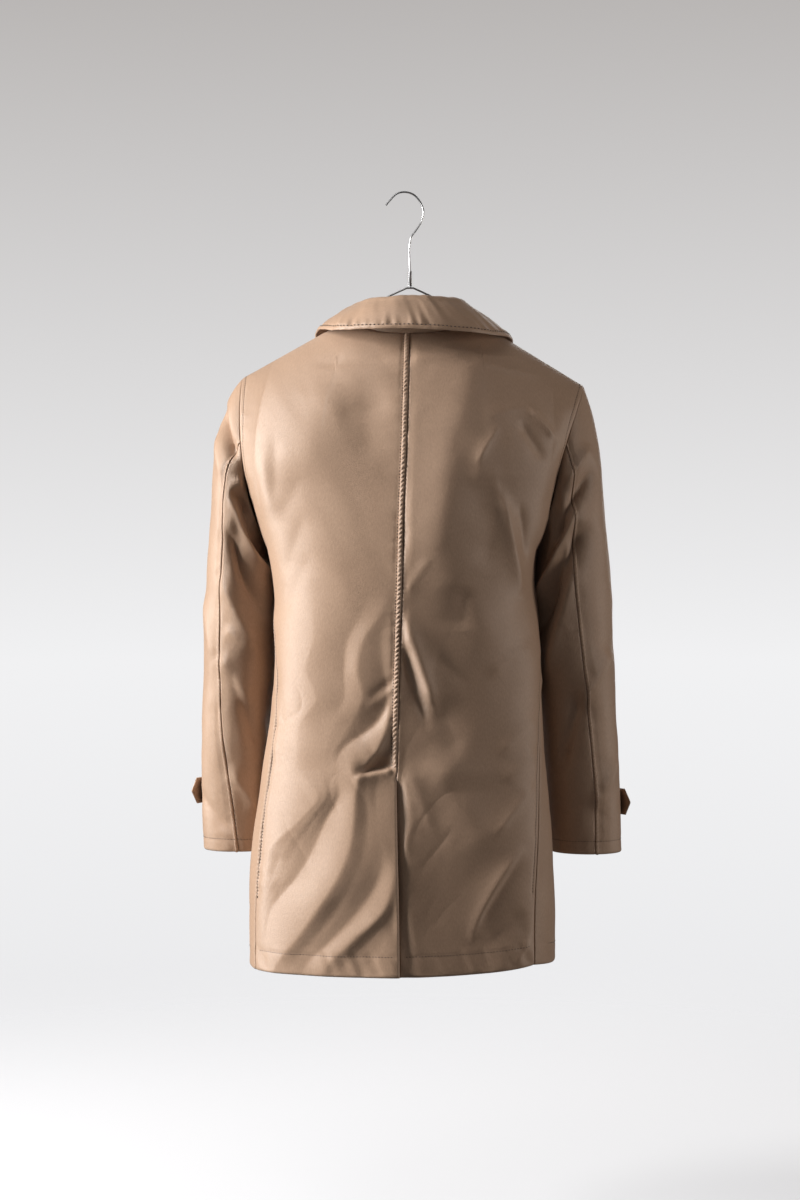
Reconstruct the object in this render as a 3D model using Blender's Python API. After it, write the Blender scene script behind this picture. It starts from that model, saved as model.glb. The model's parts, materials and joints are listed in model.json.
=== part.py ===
"""A padded coat hanging closed on a wire hanger. Metres, +Z up.

The back of the coat faces -Y and its front +Y; +X is the wearer's right. The origin is the point
inside the top of the hook that bears on whatever the hanger hangs from.
"""

import math
from collections import namedtuple

import bmesh
import bpy
import numpy as np
from mathutils import Matrix, Vector

LEFT = -1
RIGHT = 1
BACK = "back"
FRONT = "front"

# Cloth and seams
WALL = 0.003
COLLAR_WALL = 0.0026
TAB_WALL = 0.0022
SEAM_GAP = 0.0003
WELT_WIDE = 0.0075
WELT_HIGH = 0.0011

# Where the middle of the coat hangs beside the bearing point of the hook
COAT_X = 0.0076

# Heights of the coat
HEM_Z = -1.058
HEM_LIFT = {LEFT: 0.000, RIGHT: 0.010}
VENT_TOP_Z = -0.785
UNDERARM_Z = -0.493
YOKE_Z = -0.400

# The body's level sections, each four quarter ovals that meet at the middle and the widest points
FULLNESS = 2.3
Level = namedtuple("Level", "z middle_x left_x right_x widest_y back_y front_y")
BODY = [
    Level(-1.058, -0.014, -0.2190, 0.1970, -0.035, -0.155, 0.148),
    Level(-0.970, -0.015, -0.2185, 0.1965, -0.035, -0.152, 0.144),
    Level(-0.880, -0.017, -0.2130, 0.1930, -0.035, -0.148, 0.140),
    Level(-0.790, -0.018, -0.2005, 0.1860, -0.035, -0.143, 0.136),
    Level(-0.700, -0.016, -0.1890, 0.1785, -0.035, -0.140, 0.133),
    Level(-0.600, -0.013, -0.1850, 0.1695, -0.035, -0.140, 0.132),
    Level(-0.530, -0.011, -0.1910, 0.1685, -0.035, -0.142, 0.134),
    Level(-0.493, -0.010, -0.1990, 0.1745, -0.036, -0.142, 0.134),
    Level(-0.450, -0.009, -0.2090, 0.1860, -0.038, -0.140, 0.131),
    Level(-0.400, -0.007, -0.2240, 0.1990, -0.040, -0.134, 0.122),
]

# Degrees round from the middle of the back to the side seam, and to the armhole above it
Seam = namedtuple("Seam", "z left right")
SIDE_SEAM = [
    Seam(-1.058, 72.0, 56.0),
    Seam(-0.970, 73.0, 57.0),
    Seam(-0.880, 77.0, 62.0),
    Seam(-0.790, 82.0, 69.0),
    Seam(-0.700, 89.0, 80.0),
    Seam(-0.600, 99.0, 96.0),
    Seam(-0.530, 106.0, 106.0),
    Seam(-0.493, 111.0, 111.0),
]
ARMHOLE_BACK = [
    Seam(-0.493, 111.0, 111.0),
    Seam(-0.480, 101.0, 101.0),
    Seam(-0.455, 91.0, 91.0),
    Seam(-0.425, 85.0, 86.0),
    Seam(-0.400, 82.0, 84.0),
]
ARMHOLE_FRONT = [
    Seam(-0.493, 111.0, 111.0),
    Seam(-0.480, 120.0, 120.0),
    Seam(-0.455, 128.0, 128.0),
    Seam(-0.425, 133.0, 133.0),
    Seam(-0.400, 135.0, 135.0),
]

# Neckline and shoulders
Shoulder = namedtuple("Shoulder", "neck_x neck_z point_x point_z")
SHOULDER = {LEFT: Shoulder(-0.084, -0.1735, -0.231, -0.256), RIGHT: Shoulder(0.088, -0.174, 0.239, -0.2665)}
RIDGE_Z = -0.147
NECK_SHARE = {BACK: 0.35, FRONT: 0.44}
NECK_DEEP = {BACK: 0.39, FRONT: 0.575}
FRONT_OVERLAP_TURN = 6.5
FRONT_MIDDLE_SHARE = 0.126
OVERLAP_DROP = 0.05
SHOULDER_ROLL = 0.110
SHOULDER_RISE = 0.020
YOKE_FULL = 1.15
NECK_FULL = 0.35

# Sleeves: level sections below the armhole, and the turn of the back seam round from the outer side
Cuffward = namedtuple("Cuffward", "z outer_x half_wide middle_y half_deep seam_turn")
SLEEVE = {
    LEFT: [
        Cuffward(-0.560, -0.2830, 0.0460, 0.028, 0.072, 62.0),
        Cuffward(-0.640, -0.2860, 0.0470, 0.034, 0.068, 64.0),
        Cuffward(-0.740, -0.2910, 0.0480, 0.050, 0.062, 71.0),
        Cuffward(-0.824, -0.2930, 0.0480, 0.068, 0.057, 86.0),
        Cuffward(-0.913, -0.2915, 0.0480, 0.082, 0.053, 96.0),
    ],
    RIGHT: [
        Cuffward(-0.560, 0.2800, 0.0540, 0.026, 0.067, 90.0),
        Cuffward(-0.640, 0.2830, 0.0535, 0.030, 0.065, 84.0),
        Cuffward(-0.740, 0.2890, 0.0520, 0.036, 0.061, 80.0),
        Cuffward(-0.824, 0.2940, 0.0510, 0.043, 0.056, 78.0),
        Cuffward(-0.913, 0.2970, 0.0500, 0.050, 0.053, 80.0),
    ],
}
BICEPS_Z = -0.560
CUFF_Z = -0.913
CAP_LEAVE = {LEFT: 0.184, RIGHT: 0.050}
CAP_ROUND = {LEFT: 0.150, RIGHT: 0.050}
CAP_ARRIVE = 0.030
BACK_SEAM_COLUMN = 5
FRONT_SEAM_COLUMN = 16
FRONT_SEAM_TURN = 250.0

# How finely each piece is drawn
NECK_COLUMNS = 6
FRONT_NECK_COLUMNS = 7
SHOULDER_COLUMNS = 7
SKIRT_ROWS = 20
UNDERARM_ROWS = 4
YOKE_ROWS = 7
CAP_ROWS = 8
ARM_ROWS = 11

# Largest folds: a ridge (high above 0) or trough along a line, as seen from the back or the front
Fold = namedtuple("Fold", "x0 z0 x1 z1 wide high")
BACK_FOLDS = [
    Fold(-0.077, -0.806, -0.156, -1.036, 0.022, 0.0085),
    Fold(-0.016, -0.878, -0.080, -1.030, 0.020, 0.0070),
    Fold(-0.023, -0.680, -0.076, -0.786, 0.016, 0.0075),
    Fold(-0.074, -0.796, -0.018, -0.784, 0.013, -0.0060),
    Fold(-0.132, -0.600, -0.122, -0.713, 0.020, 0.0050),
    Fold(-0.080, -0.600, -0.100, -0.745, 0.020, -0.0050),
    Fold(-0.010, -0.591, 0.034, -0.713, 0.018, 0.0062),
    Fold(0.030, -0.630, 0.062, -0.800, 0.024, -0.0045),
    Fold(0.152, -0.880, 0.085, -1.004, 0.024, 0.0055),
    Fold(0.040, -0.830, 0.030, -1.050, 0.030, -0.0050),
]
FRONT_FOLDS = [
    Fold(-0.130, -0.420, -0.090, -0.640, 0.030, 0.0050),
    Fold(0.120, -0.430, 0.080, -0.650, 0.030, 0.0050),
    Fold(-0.100, -0.760, -0.120, -1.040, 0.032, 0.0055),
    Fold(0.085, -0.740, 0.110, -1.040, 0.032, 0.0055),
]

# Sleeve folds, placed by the share of the way round from the shoulder point and the height
Crease = namedtuple("Crease", "round0 z0 round1 z1 wide high")
SLEEVE_CREASES = {
    LEFT: [
        Crease(0.02, -0.318, 0.36, -0.368, 0.011, -0.0060),
        Crease(0.30, -0.400, 0.75, -0.440, 0.012, -0.0050),
        Crease(0.40, -0.490, 0.80, -0.590, 0.015, -0.0055),
        Crease(0.30, -0.580, 0.80, -0.700, 0.018, 0.0045),
    ],
    RIGHT: [
        Crease(0.05, -0.345, 0.35, -0.420, 0.014, -0.0045),
        Crease(0.30, -0.470, 0.80, -0.600, 0.017, -0.0045),
        Crease(0.05, -0.620, 0.40, -0.700, 0.018, 0.0040),
    ],
}

# A sewn edge of a grid of points
Run = namedtuple("Run", "rows columns into_row into_column")

# The vent: the left edge stands off, the right one sinks under it
VENT_LIFT = 0.0042
VENT_SINK = 0.0090
VENT_REACH = 0.055
VENT_EASE = 0.060
UNDERLAP_WIDE = 0.042
UNDERLAP_TOP_Z = -0.836

# Right front sinks under the left front at the middle
FRONT_SINK = 0.0056
FRONT_SINK_REACH = 0.038
FRONT_SINK_FULL = 0.040

# Collar: fold line and outer edge, by the share of the way from the middle of the back to the front
Fold_line = namedtuple("Fold_line", "share x y z")
COLLAR_FOLD = [
    Fold_line(0.00, 0.000, -0.064, -0.1550),
    Fold_line(0.20, 0.036, -0.055, -0.1552),
    Fold_line(0.36, 0.059, -0.028, -0.1565),
    Fold_line(0.48, 0.066, 0.002, -0.1600),
    Fold_line(0.74, 0.050, 0.046, -0.1910),
    Fold_line(1.00, 0.010, 0.063, -0.223),
]
Fall_edge = namedtuple("Fall_edge", "share left_x left_y left_z right_x right_y right_z")
COLLAR_EDGE = [
    Fall_edge(0.00, 0.002, -0.100, -0.1980, 0.002, -0.100, -0.1980),
    Fall_edge(0.18, -0.056, -0.092, -0.1975, 0.062, -0.092, -0.2000),
    Fall_edge(0.36, -0.106, -0.058, -0.1945, 0.116, -0.058, -0.2010),
    Fall_edge(0.48, -0.128, -0.010, -0.1880, 0.140, -0.010, -0.1990),
    Fall_edge(0.64, -0.132, 0.050, -0.2020, 0.142, 0.050, -0.2120),
    Fall_edge(0.83, -0.112, 0.102, -0.2520, 0.116, 0.102, -0.2560),
    Fall_edge(1.00, -0.078, 0.130, -0.3180, 0.078, 0.130, -0.3180),
]
COLLAR_CENTRE_X = 0.003
COLLAR_SHORT = 0.45
STAND_LIFT = 0.0006
STAND_ROWS = 3
FALL_ROWS = 6
FALL_ROLL = 0.009
FALL_BULGE = 0.004

# Cuff tabs, on the front of each sleeve with the tip standing off the outer side
TAB_TOP_Z = {LEFT: -0.812, RIGHT: -0.826}
TAB_WIDE = 0.037
TAB_START_TURN = 268.0
TAB_LEAVE_TURN = 338.0
TAB_TIP = {LEFT: 0.033, RIGHT: 0.031}
TAB_POINT = 0.013
TAB_OFF = 0.0012
TAB_BUTTON_RADIUS = 0.0085
TAB_BUTTON_SHARE = 0.55

# Buttons down the left front
BUTTON_RADIUS = 0.011
BUTTON_THICK = 0.0032
BUTTON_OFF = 0.0008
BUTTON_Z = (-0.345, -0.475, -0.605, -0.735)

# Wire hanger
WIRE_RADIUS = 0.0013
WIRE_SIDES = 8
HOOK_TURN = [
    (-0.0255, -0.0170), (-0.0185, -0.0085), (-0.0095, -0.0005), (0.0000, 0.0013), (0.0105, -0.0012),
    (0.0205, -0.0105), (0.0262, -0.0260), (0.0235, -0.0400), (0.0155, -0.0520), (0.0095, -0.0610),
    (0.0076, -0.0700), (0.0076, -0.1080),
]
TWIST_TOP_Z = -0.1086
TWIST_BOTTOM_Z = -0.1290
TWIST_RADIUS = 0.0030
ARM_START = (0.0045, -0.1312)
ARM_SEEN = (0.0300, -0.1430)
ARM_UNDER = 0.0066
ARM_END = 0.200
ARM_TURN = 58.0
BAR_DROP = 0.020

CLOTH = (0.47, 0.30, 0.19, 1.0)
HORN = (0.10, 0.06, 0.04, 1.0)
STEEL = (0.62, 0.63, 0.65, 1.0)


def through(stations, values, at):
    """A smooth curve through values given at stations, read at other places along it."""
    order = np.argsort(stations)
    s = np.asarray(stations, float)[order]
    v = np.asarray(values, float)[order]
    slope = np.gradient(v, s)
    at = np.clip(np.asarray(at, float), s[0], s[-1])
    i = np.clip(np.searchsorted(s, at) - 1, 0, len(s) - 2)
    wide = s[i + 1] - s[i]
    t = (at - s[i]) / wide
    return hermite(v[i], slope[i] * wide, v[i + 1], slope[i + 1] * wide, t)


def hermite(start, leave, end, arrive, t):
    """A cubic from start to end with the given tangents."""
    rest = 1.0 - t
    return (
        (1.0 + 2.0 * t) * rest ** 2 * start
        + t * rest ** 2 * leave
        + t ** 2 * (3.0 - 2.0 * t) * end
        - t ** 2 * rest * arrive
    )


def ease(value):
    """0 to 1 with a soft start and finish."""
    t = np.clip(value, 0.0, 1.0)
    return t * t * (3.0 - 2.0 * t)


def column(table, name, z):
    """One column of a table of sections, read at any height."""
    return through([row.z for row in table], [getattr(row, name) for row in table], z)


def ring(side, turn, z):
    """A point on the body's section at height z, turned so many degrees from the middle of the back."""
    sine = np.sin(np.radians(turn))
    cosine = np.cos(np.radians(turn))
    middle = column(BODY, "middle_x", z)
    edge = column(BODY, "left_x" if side == LEFT else "right_x", z)
    widest = column(BODY, "widest_y", z)
    depth = np.where(cosine >= 0.0, column(BODY, "back_y", z), column(BODY, "front_y", z))
    power = 2.0 / FULLNESS
    x = middle + (edge - middle) * np.sign(sine) * np.abs(sine) ** power
    y = widest + (depth - widest) * np.abs(cosine) ** power
    return np.stack([x, y, z + 0.0 * x], -1)


def edge_turn(side, part, z):
    """Turn of the outer edge of a panel: the side seam, and the armhole above the underarm."""
    name = "left" if side == LEFT else "right"
    hole = ARMHOLE_BACK if part == BACK else ARMHOLE_FRONT
    return np.where(z < UNDERARM_Z, column(SIDE_SEAM, name, z), column(hole, name, z))


def below_yoke(side, part, across, z):
    """A point of a body panel below the yoke level; across runs from the middle to the outer edge."""
    start = 0.0 if part == BACK else 180.0 + FRONT_OVERLAP_TURN
    return ring(side, start + (edge_turn(side, part, z) - start) * across, z)


def first_share(part):
    """Where the middle of the coat lies across a panel; a front runs a little past it."""
    return 0.0 if part == BACK else FRONT_MIDDLE_SHARE


def ridge(side, part, across):
    """The shoulder seam, run on across the neck hole to the middle of the coat."""
    s = SHOULDER[side]
    first = first_share(part)
    b = (across - first) / (1.0 - first)
    at_neck = (NECK_SHARE[part] - first) / (1.0 - first)
    bow = (s.neck_x / s.point_x - at_neck) / (at_neck * (1.0 - at_neck))
    x = s.point_x * (b + bow * b * (1.0 - b))
    beyond = np.clip((x - s.neck_x) / (s.point_x - s.neck_x), 0.0, 1.0)
    inside = np.clip(x / s.neck_x, -1.0, 1.0)
    z = RIDGE_Z + (s.neck_z - RIDGE_Z) * inside ** 2 + (s.point_z - s.neck_z) * beyond
    return np.stack([x, 0.0 * x, z], -1)


def top_share(part, across):
    """How far up the yoke a column of cloth runs: to the seam, or less where the neckline cuts it."""
    first = first_share(part)
    share = np.clip((across - first) / (NECK_SHARE[part] - first), 0.0, 1.0)
    past = np.clip((first - across) / max(first, 1e-6), 0.0, 1.0)
    return 1.0 - NECK_DEEP[part] * np.sqrt(1.0 - share ** 2) - OVERLAP_DROP * past


def body_point(side, part, across, up):
    """A point of a body panel: up runs 0 to 1 to the underarm, to 2 at the yoke and to 3 at the top."""
    across, up = np.broadcast_arrays(np.asarray(across, float), np.asarray(up, float))
    hem = HEM_Z + HEM_LIFT[side] * across ** 2
    z = np.where(
        up < 1.0,
        hem + (UNDERARM_Z - hem) * up,
        UNDERARM_Z + (YOKE_Z - UNDERARM_Z) * np.clip(up - 1.0, 0.0, 1.0),
    )
    low = below_yoke(side, part, across, z)
    start = below_yoke(side, part, across, np.full(across.shape, YOKE_Z))
    step = 0.008
    under = below_yoke(side, part, across, np.full(across.shape, YOKE_Z - step))
    end = ridge(side, part, across)
    facing_y = 1.0 if part == BACK else -1.0
    arrive = np.array([0.0, facing_y * SHOULDER_ROLL, SHOULDER_RISE])
    full = YOKE_FULL + NECK_FULL * ease(1.0 - across / NECK_SHARE[part] / 1.6)
    leave = (start - under) / step * (end[..., 2:] - YOKE_Z) * full[..., None]
    t = np.clip(up - 2.0, 0.0, 1.0) * top_share(part, across)
    return np.where(up[..., None] <= 2.0, low, hermite(start, leave, end, arrive, t[..., None]))


def facing(points):
    """Unit normals of a grid of points, rows up and columns across."""
    d_row = np.gradient(points, axis=0)
    d_col = np.gradient(points, axis=1)
    n = np.cross(d_col, d_row)
    return n / np.maximum(np.linalg.norm(n, axis=-1, keepdims=True), 1e-12)


def fold_height(x, z, folds):
    """How far the folds raise the cloth at a place, as seen square on."""
    total = np.zeros_like(x)
    for f in folds:
        along_x = f.x1 - f.x0
        along_z = f.z1 - f.z0
        long2 = along_x ** 2 + along_z ** 2
        t = ((x - f.x0) * along_x + (z - f.z0) * along_z) / long2
        off2 = (x - f.x0 - t * along_x) ** 2 + (z - f.z0 - t * along_z) ** 2
        ends = ease((t + 0.12) / 0.35) * ease((1.12 - t) / 0.35)
        total += f.high * ends * np.exp(-off2 / f.wide ** 2)
    return total


def columns(side, part):
    """Places across a panel where its columns lie; both panels have the same ones at the shoulder seam."""
    s = SHOULDER[side]
    first = first_share(part)
    share = NECK_SHARE[part]
    at_neck = (share - first) / (1.0 - first)
    ratio = s.neck_x / s.point_x
    bow = (ratio - at_neck) / (at_neck * (1.0 - at_neck))
    wanted = np.linspace(ratio, 1.0, SHOULDER_COLUMNS + 1)[1:]
    b = 2.0 * wanted / ((1.0 + bow) + np.sqrt((1.0 + bow) ** 2 - 4.0 * bow * wanted))
    outer = first + (1.0 - first) * b
    outer[-1] = 1.0
    if part == BACK:
        half = abs(BODY[0].left_x - BODY[0].middle_x) * 1.15
        welt = np.array([WELT_WIDE, WELT_WIDE * 1.25]) / half
        turn = np.linspace(0.0, np.pi / 2.0, NECK_COLUMNS + 1)[1:]
        inner = np.concatenate([[0.0], welt, share * np.sin(turn)])
    else:
        turn = np.linspace(0.0, np.pi / 2.0, FRONT_NECK_COLUMNS + 1)
        inner = np.concatenate([[0.0], first + (share - first) * np.sin(turn)])
    return np.concatenate([np.sort(inner), outer])


def rows():
    """Places up a panel where its rows lie; one of them is the top of the vent."""
    vent = (VENT_TOP_Z - HEM_Z) / (UNDERARM_Z - HEM_Z)
    low = int(round(SKIRT_ROWS * vent))
    skirt = np.concatenate([
        np.linspace(0.0, vent, low + 1),
        np.linspace(vent, 1.0, SKIRT_ROWS - low + 1)[1:],
    ])
    return np.concatenate([
        skirt,
        1.0 + np.linspace(0.0, 1.0, UNDERARM_ROWS + 1)[1:] ** 1.5,
        np.linspace(2.0, 3.0, YOKE_ROWS + 1)[1:],
    ])


def body_grid(side, part):
    """Outer points of one body panel, folded, with its seams left where they are."""
    across, up = np.meshgrid(columns(side, part), rows())
    points = body_point(side, part, across, up)
    normal = facing(points)
    outward = points - np.array([-0.01, 0.0, 0.0])
    normal *= np.sign((normal[..., :2] * outward[..., :2]).sum())
    seam_fade = ease((1.0 - across) / 0.14) * ease((3.0 - up) / 0.6)
    x = points[..., 0]
    z = points[..., 2]
    if part == BACK:
        high = fold_height(x, z, BACK_FOLDS) * seam_fade * ease((across + 0.004) / 0.07)
        below = ease((VENT_TOP_Z - z) / VENT_EASE)
        middle = column(BODY, "middle_x", z)
        near = ease(1.0 - np.abs(x - middle) / VENT_REACH)
        high += (VENT_LIFT if side == LEFT else -VENT_SINK) * below * near
    else:
        high = fold_height(x, z, FRONT_FOLDS) * seam_fade * ease((across - 0.1) / 0.15)
        if side == RIGHT:
            middle = column(BODY, "middle_x", z)
            points[..., 1] -= FRONT_SINK * ease(1.0 - (x - middle - FRONT_SINK_FULL) / FRONT_SINK_REACH)
    return points + normal * high[..., None]


def armhole_point(side, share):
    """The armhole: share 0 is the shoulder point, 1 the underarm, 2 the shoulder point again by the front."""
    back = body_point(side, BACK, np.ones_like(share), 3.0 - 2.0 * np.clip(share, 0.0, 1.0))
    front = body_point(side, FRONT, np.ones_like(share), 1.0 + 2.0 * np.clip(share - 1.0, 0.0, 1.0))
    return np.where((share <= 1.0)[..., None], back, front)


def sleeve_turn(side, share, z):
    """Degrees round the sleeve of a column, from its outer side by the back."""
    seam = column(SLEEVE[side], "seam_turn", z)
    back_share, front_share = seam_shares()
    first = seam * share / back_share
    second = seam + (180.0 - seam) * (share - back_share) / (1.0 - back_share)
    third = 180.0 + (FRONT_SEAM_TURN - 180.0) * (share - 1.0) / (front_share - 1.0)
    last = FRONT_SEAM_TURN + (360.0 - FRONT_SEAM_TURN) * (share - front_share) / (2.0 - front_share)
    return np.where(
        share < back_share, first, np.where(share < 1.0, second, np.where(share < front_share, third, last))
    )


def seam_shares():
    """Where the two sleeve seams meet the armhole."""
    shares = sleeve_columns()
    return shares[BACK_SEAM_COLUMN], shares[FRONT_SEAM_COLUMN]


def sleeve_columns():
    """The armhole shares at which the body panels have rows."""
    up = rows()
    above = up[up >= 1.0 - 1e-9]
    back = (3.0 - above[::-1]) / 2.0
    front = 1.0 + (above - 1.0) / 2.0
    return np.concatenate([back, front[1:]])


def sleeve_ring(side, turn, z):
    """A point of the sleeve's level section."""
    table = SLEEVE[side]
    half = column(table, "half_wide", z)
    outer = column(table, "outer_x", z)
    deep = column(table, "half_deep", z)
    x = outer - side * half + side * half * np.cos(np.radians(turn))
    y = column(table, "middle_y", z) - deep * np.sin(np.radians(turn))
    return np.stack([x, y, z + 0.0 * x], -1)


def sleeve_point(side, share, down):
    """A point of a sleeve: down runs 0 at the armhole, 1 at the biceps and 2 at the cuff."""
    share, down = np.broadcast_arrays(np.asarray(share, float), np.asarray(down, float))
    hole = armhole_point(side, share)
    upper = np.full(share.shape, BICEPS_Z)
    biceps = sleeve_ring(side, sleeve_turn(side, share, upper), upper)
    step = 0.01
    lower = upper - step
    beyond = sleeve_ring(side, sleeve_turn(side, share, lower), lower)
    drop = hole[..., 2:] - BICEPS_Z
    turn = np.radians(sleeve_turn(side, share, upper))
    high = ((1.0 + np.cos(turn)) / 2.0) ** 1.5
    outward = side * (0.26 + CAP_LEAVE[side] * high)
    leave = drop * np.stack([outward, -0.10 * np.sin(turn), -1.0 - 0.15 * high], -1)
    arrive = (beyond - biceps) / step * drop * 1.05
    arrive[..., 0] += side * CAP_ARRIVE * high * drop[..., 0]
    t = np.clip(down, 0.0, 1.0)[..., None]
    cap = hermite(hole, leave, biceps, arrive, t)
    cap[..., 0] += side * CAP_ROUND[side] * high * (t * (1.0 - t) ** 5)[..., 0]
    z = BICEPS_Z + (CUFF_Z - BICEPS_Z) * np.clip(down - 1.0, 0.0, 1.0)
    arm = sleeve_ring(side, sleeve_turn(side, share, z), z)
    return np.where(down[..., None] <= 1.0, cap, arm)


def sleeve_grid(side):
    """Outer points of a whole sleeve, folded; the first and last columns are the same line."""
    down = np.concatenate([np.linspace(0.0, 1.0, CAP_ROWS + 1), np.linspace(1.0, 2.0, ARM_ROWS + 1)[1:]])
    share, down = np.meshgrid(sleeve_columns(), down)
    points = sleeve_point(side, share, down)
    wrapped = np.concatenate([points[:, -2:-1], points, points[:, 1:2]], axis=1)
    normal = facing(wrapped)[:, 1:-1] * side
    z = points[..., 2]
    high = np.zeros_like(z)
    girth = 0.36 / 2.0
    for c in SLEEVE_CREASES[side]:
        along_r = (c.round1 - c.round0) * girth
        along_z = c.z1 - c.z0
        long2 = along_r ** 2 + along_z ** 2
        r = (share - c.round0) * girth
        t = (r * along_r + (z - c.z0) * along_z) / long2
        off2 = (r - t * along_r) ** 2 + (z - c.z0 - t * along_z) ** 2
        ends = ease((t + 0.15) / 0.35) * ease((1.15 - t) / 0.35)
        high += c.high * ends * np.exp(-off2 / c.wide ** 2)
    high *= ease(down / 0.35)
    return points + normal * high[..., None]


def shared_normals(grids):
    """Normals at every point, averaged over all panels that meet there. Each grid faces outward."""
    total = {}
    for points in grids:
        quad = np.cross(
            points[1:, 1:] - points[:-1, :-1], points[1:, :-1] - points[:-1, 1:]
        )
        quad /= np.maximum(np.linalg.norm(quad, axis=-1, keepdims=True), 1e-12)
        for r in range(quad.shape[0]):
            for c in range(quad.shape[1]):
                for i, j in ((r, c), (r, c + 1), (r + 1, c), (r + 1, c + 1)):
                    key = tuple(np.round(points[i, j], 6))
                    total[key] = total.get(key, 0.0) + quad[r, c]
    made = []
    for points in grids:
        normal = np.zeros_like(points)
        for i in range(points.shape[0]):
            for j in range(points.shape[1]):
                n = total[tuple(np.round(points[i, j], 6))]
                normal[i, j] = n / max(np.linalg.norm(n), 1e-9)
        made.append(normal)
    return made


def drawn_in(points, sheet, shared, own, sewn):
    """Moves the sewn edges of a sheet half a seam gap into the panel, square to the seam."""
    moved = sheet.copy()
    for run in sewn:
        edge = (run.rows, run.columns)
        into = into_panel(points, own, run)
        square = into - (into * shared[edge]).sum(-1, keepdims=True) * shared[edge]
        square /= np.maximum(np.linalg.norm(square, axis=-1, keepdims=True), 1e-12)
        moved[edge] += square * SEAM_GAP / 2.0
    return moved


def edge_run(rows_of, columns_of, into_row, into_column):
    """One sewn edge of a grid: where its points are, and which way the panel lies."""
    r, c = np.broadcast_arrays(np.asarray(rows_of), np.asarray(columns_of))
    return Run(r, c, into_row, into_column)


def lofted_wall(name, outer, inner, material, group):
    """A closed wall between two grids of points: outer faces out, inner faces in."""
    bm = bmesh.new()
    sheets = []
    for points in (outer, inner):
        sheets.append([[bm.verts.new(p) for p in row] for row in points])
    high = len(sheets[0])
    wide = len(sheets[0][0])
    for r in range(high - 1):
        for c in range(wide - 1):
            corners = [(r, c), (r, c + 1), (r + 1, c + 1), (r + 1, c)]
            p = [sheets[0][i][j].co for i, j in corners]
            if (p[0] - p[2]).length > (p[1] - p[3]).length:
                corners = corners[1:] + corners[:1]
            for three in (corners[:3], corners[2:] + corners[:1]):
                bm.faces.new([sheets[0][i][j] for i, j in three])
                bm.faces.new([sheets[1][i][j] for i, j in three[::-1]])
    rim = [(0, c) for c in range(wide)]
    rim += [(r, wide - 1) for r in range(1, high)]
    rim += [(high - 1, c) for c in range(wide - 2, -1, -1)]
    rim += [(r, 0) for r in range(high - 2, 0, -1)]
    for (r0, c0), (r1, c1) in zip(rim, rim[1:] + rim[:1]):
        bm.faces.new([sheets[0][r1][c1], sheets[0][r0][c0], sheets[1][r0][c0], sheets[1][r1][c1]])
    bmesh.ops.recalc_face_normals(bm, faces=bm.faces)
    return placed(name, bm, material, group)


def placed(name, bm, material, group):
    """Makes an object of a bmesh, in the coat's place beside the hook."""
    bmesh.ops.translate(bm, verts=bm.verts, vec=(COAT_X, 0.0, 0.0))
    mesh = bpy.data.meshes.new(name)
    bm.to_mesh(mesh)
    bm.free()
    mesh.materials.append(material)
    made = bpy.data.objects.new(name, mesh)
    group.objects.link(made)
    return made


def finish(name, colour, metallic, roughness):
    """A plain Principled material."""
    material = bpy.data.materials.new(name)
    material.use_nodes = True
    shader = material.node_tree.nodes["Principled BSDF"]
    shader.inputs["Base Color"].default_value = colour
    shader.inputs["Metallic"].default_value = metallic
    shader.inputs["Roughness"].default_value = roughness
    material.diffuse_color = colour
    return material


def outward_grids():
    """Every sewn panel as a grid of outer points whose faces look outward, with its sewn edges."""
    grids = {}
    underarm = int(np.argmin(np.abs(rows() - 1.0)))
    for side, word in ((LEFT, "left"), (RIGHT, "right")):
        for part in (BACK, FRONT):
            points = body_grid(side, part)
            high, wide = points.shape[:2]
            sewn = [
                edge_run(np.arange(underarm + 1), wide - 1, 0, -1),
                edge_run(np.arange(underarm, high), wide - 1, 0, -1),
                edge_run(high - 1, np.arange(wide - 1 - SHOULDER_COLUMNS, wide), -1, 0),
            ]
            if part == BACK:
                sewn.append(edge_run(np.arange(high), 0, 0, 1))
            outward = (part == BACK) == (side == RIGHT)
            grids[part + "_" + word] = (points, sewn) if outward else mirrored(points, sewn)
        sleeve = sleeve_grid(side)
        b = BACK_SEAM_COLUMN
        f = FRONT_SEAM_COLUMN
        upper = np.concatenate([sleeve[:, f:], sleeve[:, 1:b + 1]], axis=1)
        for name, points in (("sleeve_upper_", upper), ("sleeve_under_", sleeve[:, b:f + 1])):
            high, wide = points.shape[:2]
            sewn = [
                edge_run(0, np.arange(wide), 1, 0),
                edge_run(np.arange(high), 0, 0, 1),
                edge_run(np.arange(high), wide - 1, 0, -1),
            ]
            grids[name + word] = (points, sewn) if side == RIGHT else mirrored(points, sewn)
    return grids


def mirrored(points, sewn):
    """The same grid with its columns in the other order."""
    last = points.shape[1] - 1
    return points[:, ::-1], [Run(e.rows, last - e.columns, e.into_row, -e.into_column) for e in sewn]


def underlap_grid(right_back):
    """The strip of the right back that runs on under the left one, from the right back's middle edge."""
    edge = right_back[:, 0]
    keep = edge[:, 2] <= UNDERLAP_TOP_Z
    edge = edge[keep]
    count = 3
    strips = []
    for i in range(count + 1):
        gone = UNDERLAP_WIDE * i / count
        x = edge[:, 0] - gone
        middle = column(BODY, "middle_x", edge[:, 2])
        half = middle - column(BODY, "left_x", edge[:, 2])
        power = 2.0 / FULLNESS
        sine = np.clip((middle - x) / half, 0.0, 1.0) ** (1.0 / power)
        depth = column(BODY, "back_y", edge[:, 2]) - column(BODY, "widest_y", edge[:, 2])
        y = edge[:, 1] - depth * (1.0 - np.sqrt(1.0 - sine ** 2) ** power)
        y = y + 0.0045 * (gone / UNDERLAP_WIDE)
        strips.append(np.stack([x, y, edge[:, 2]], -1))
    strips[0] = edge
    return np.stack(strips[::-1], axis=1)


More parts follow.
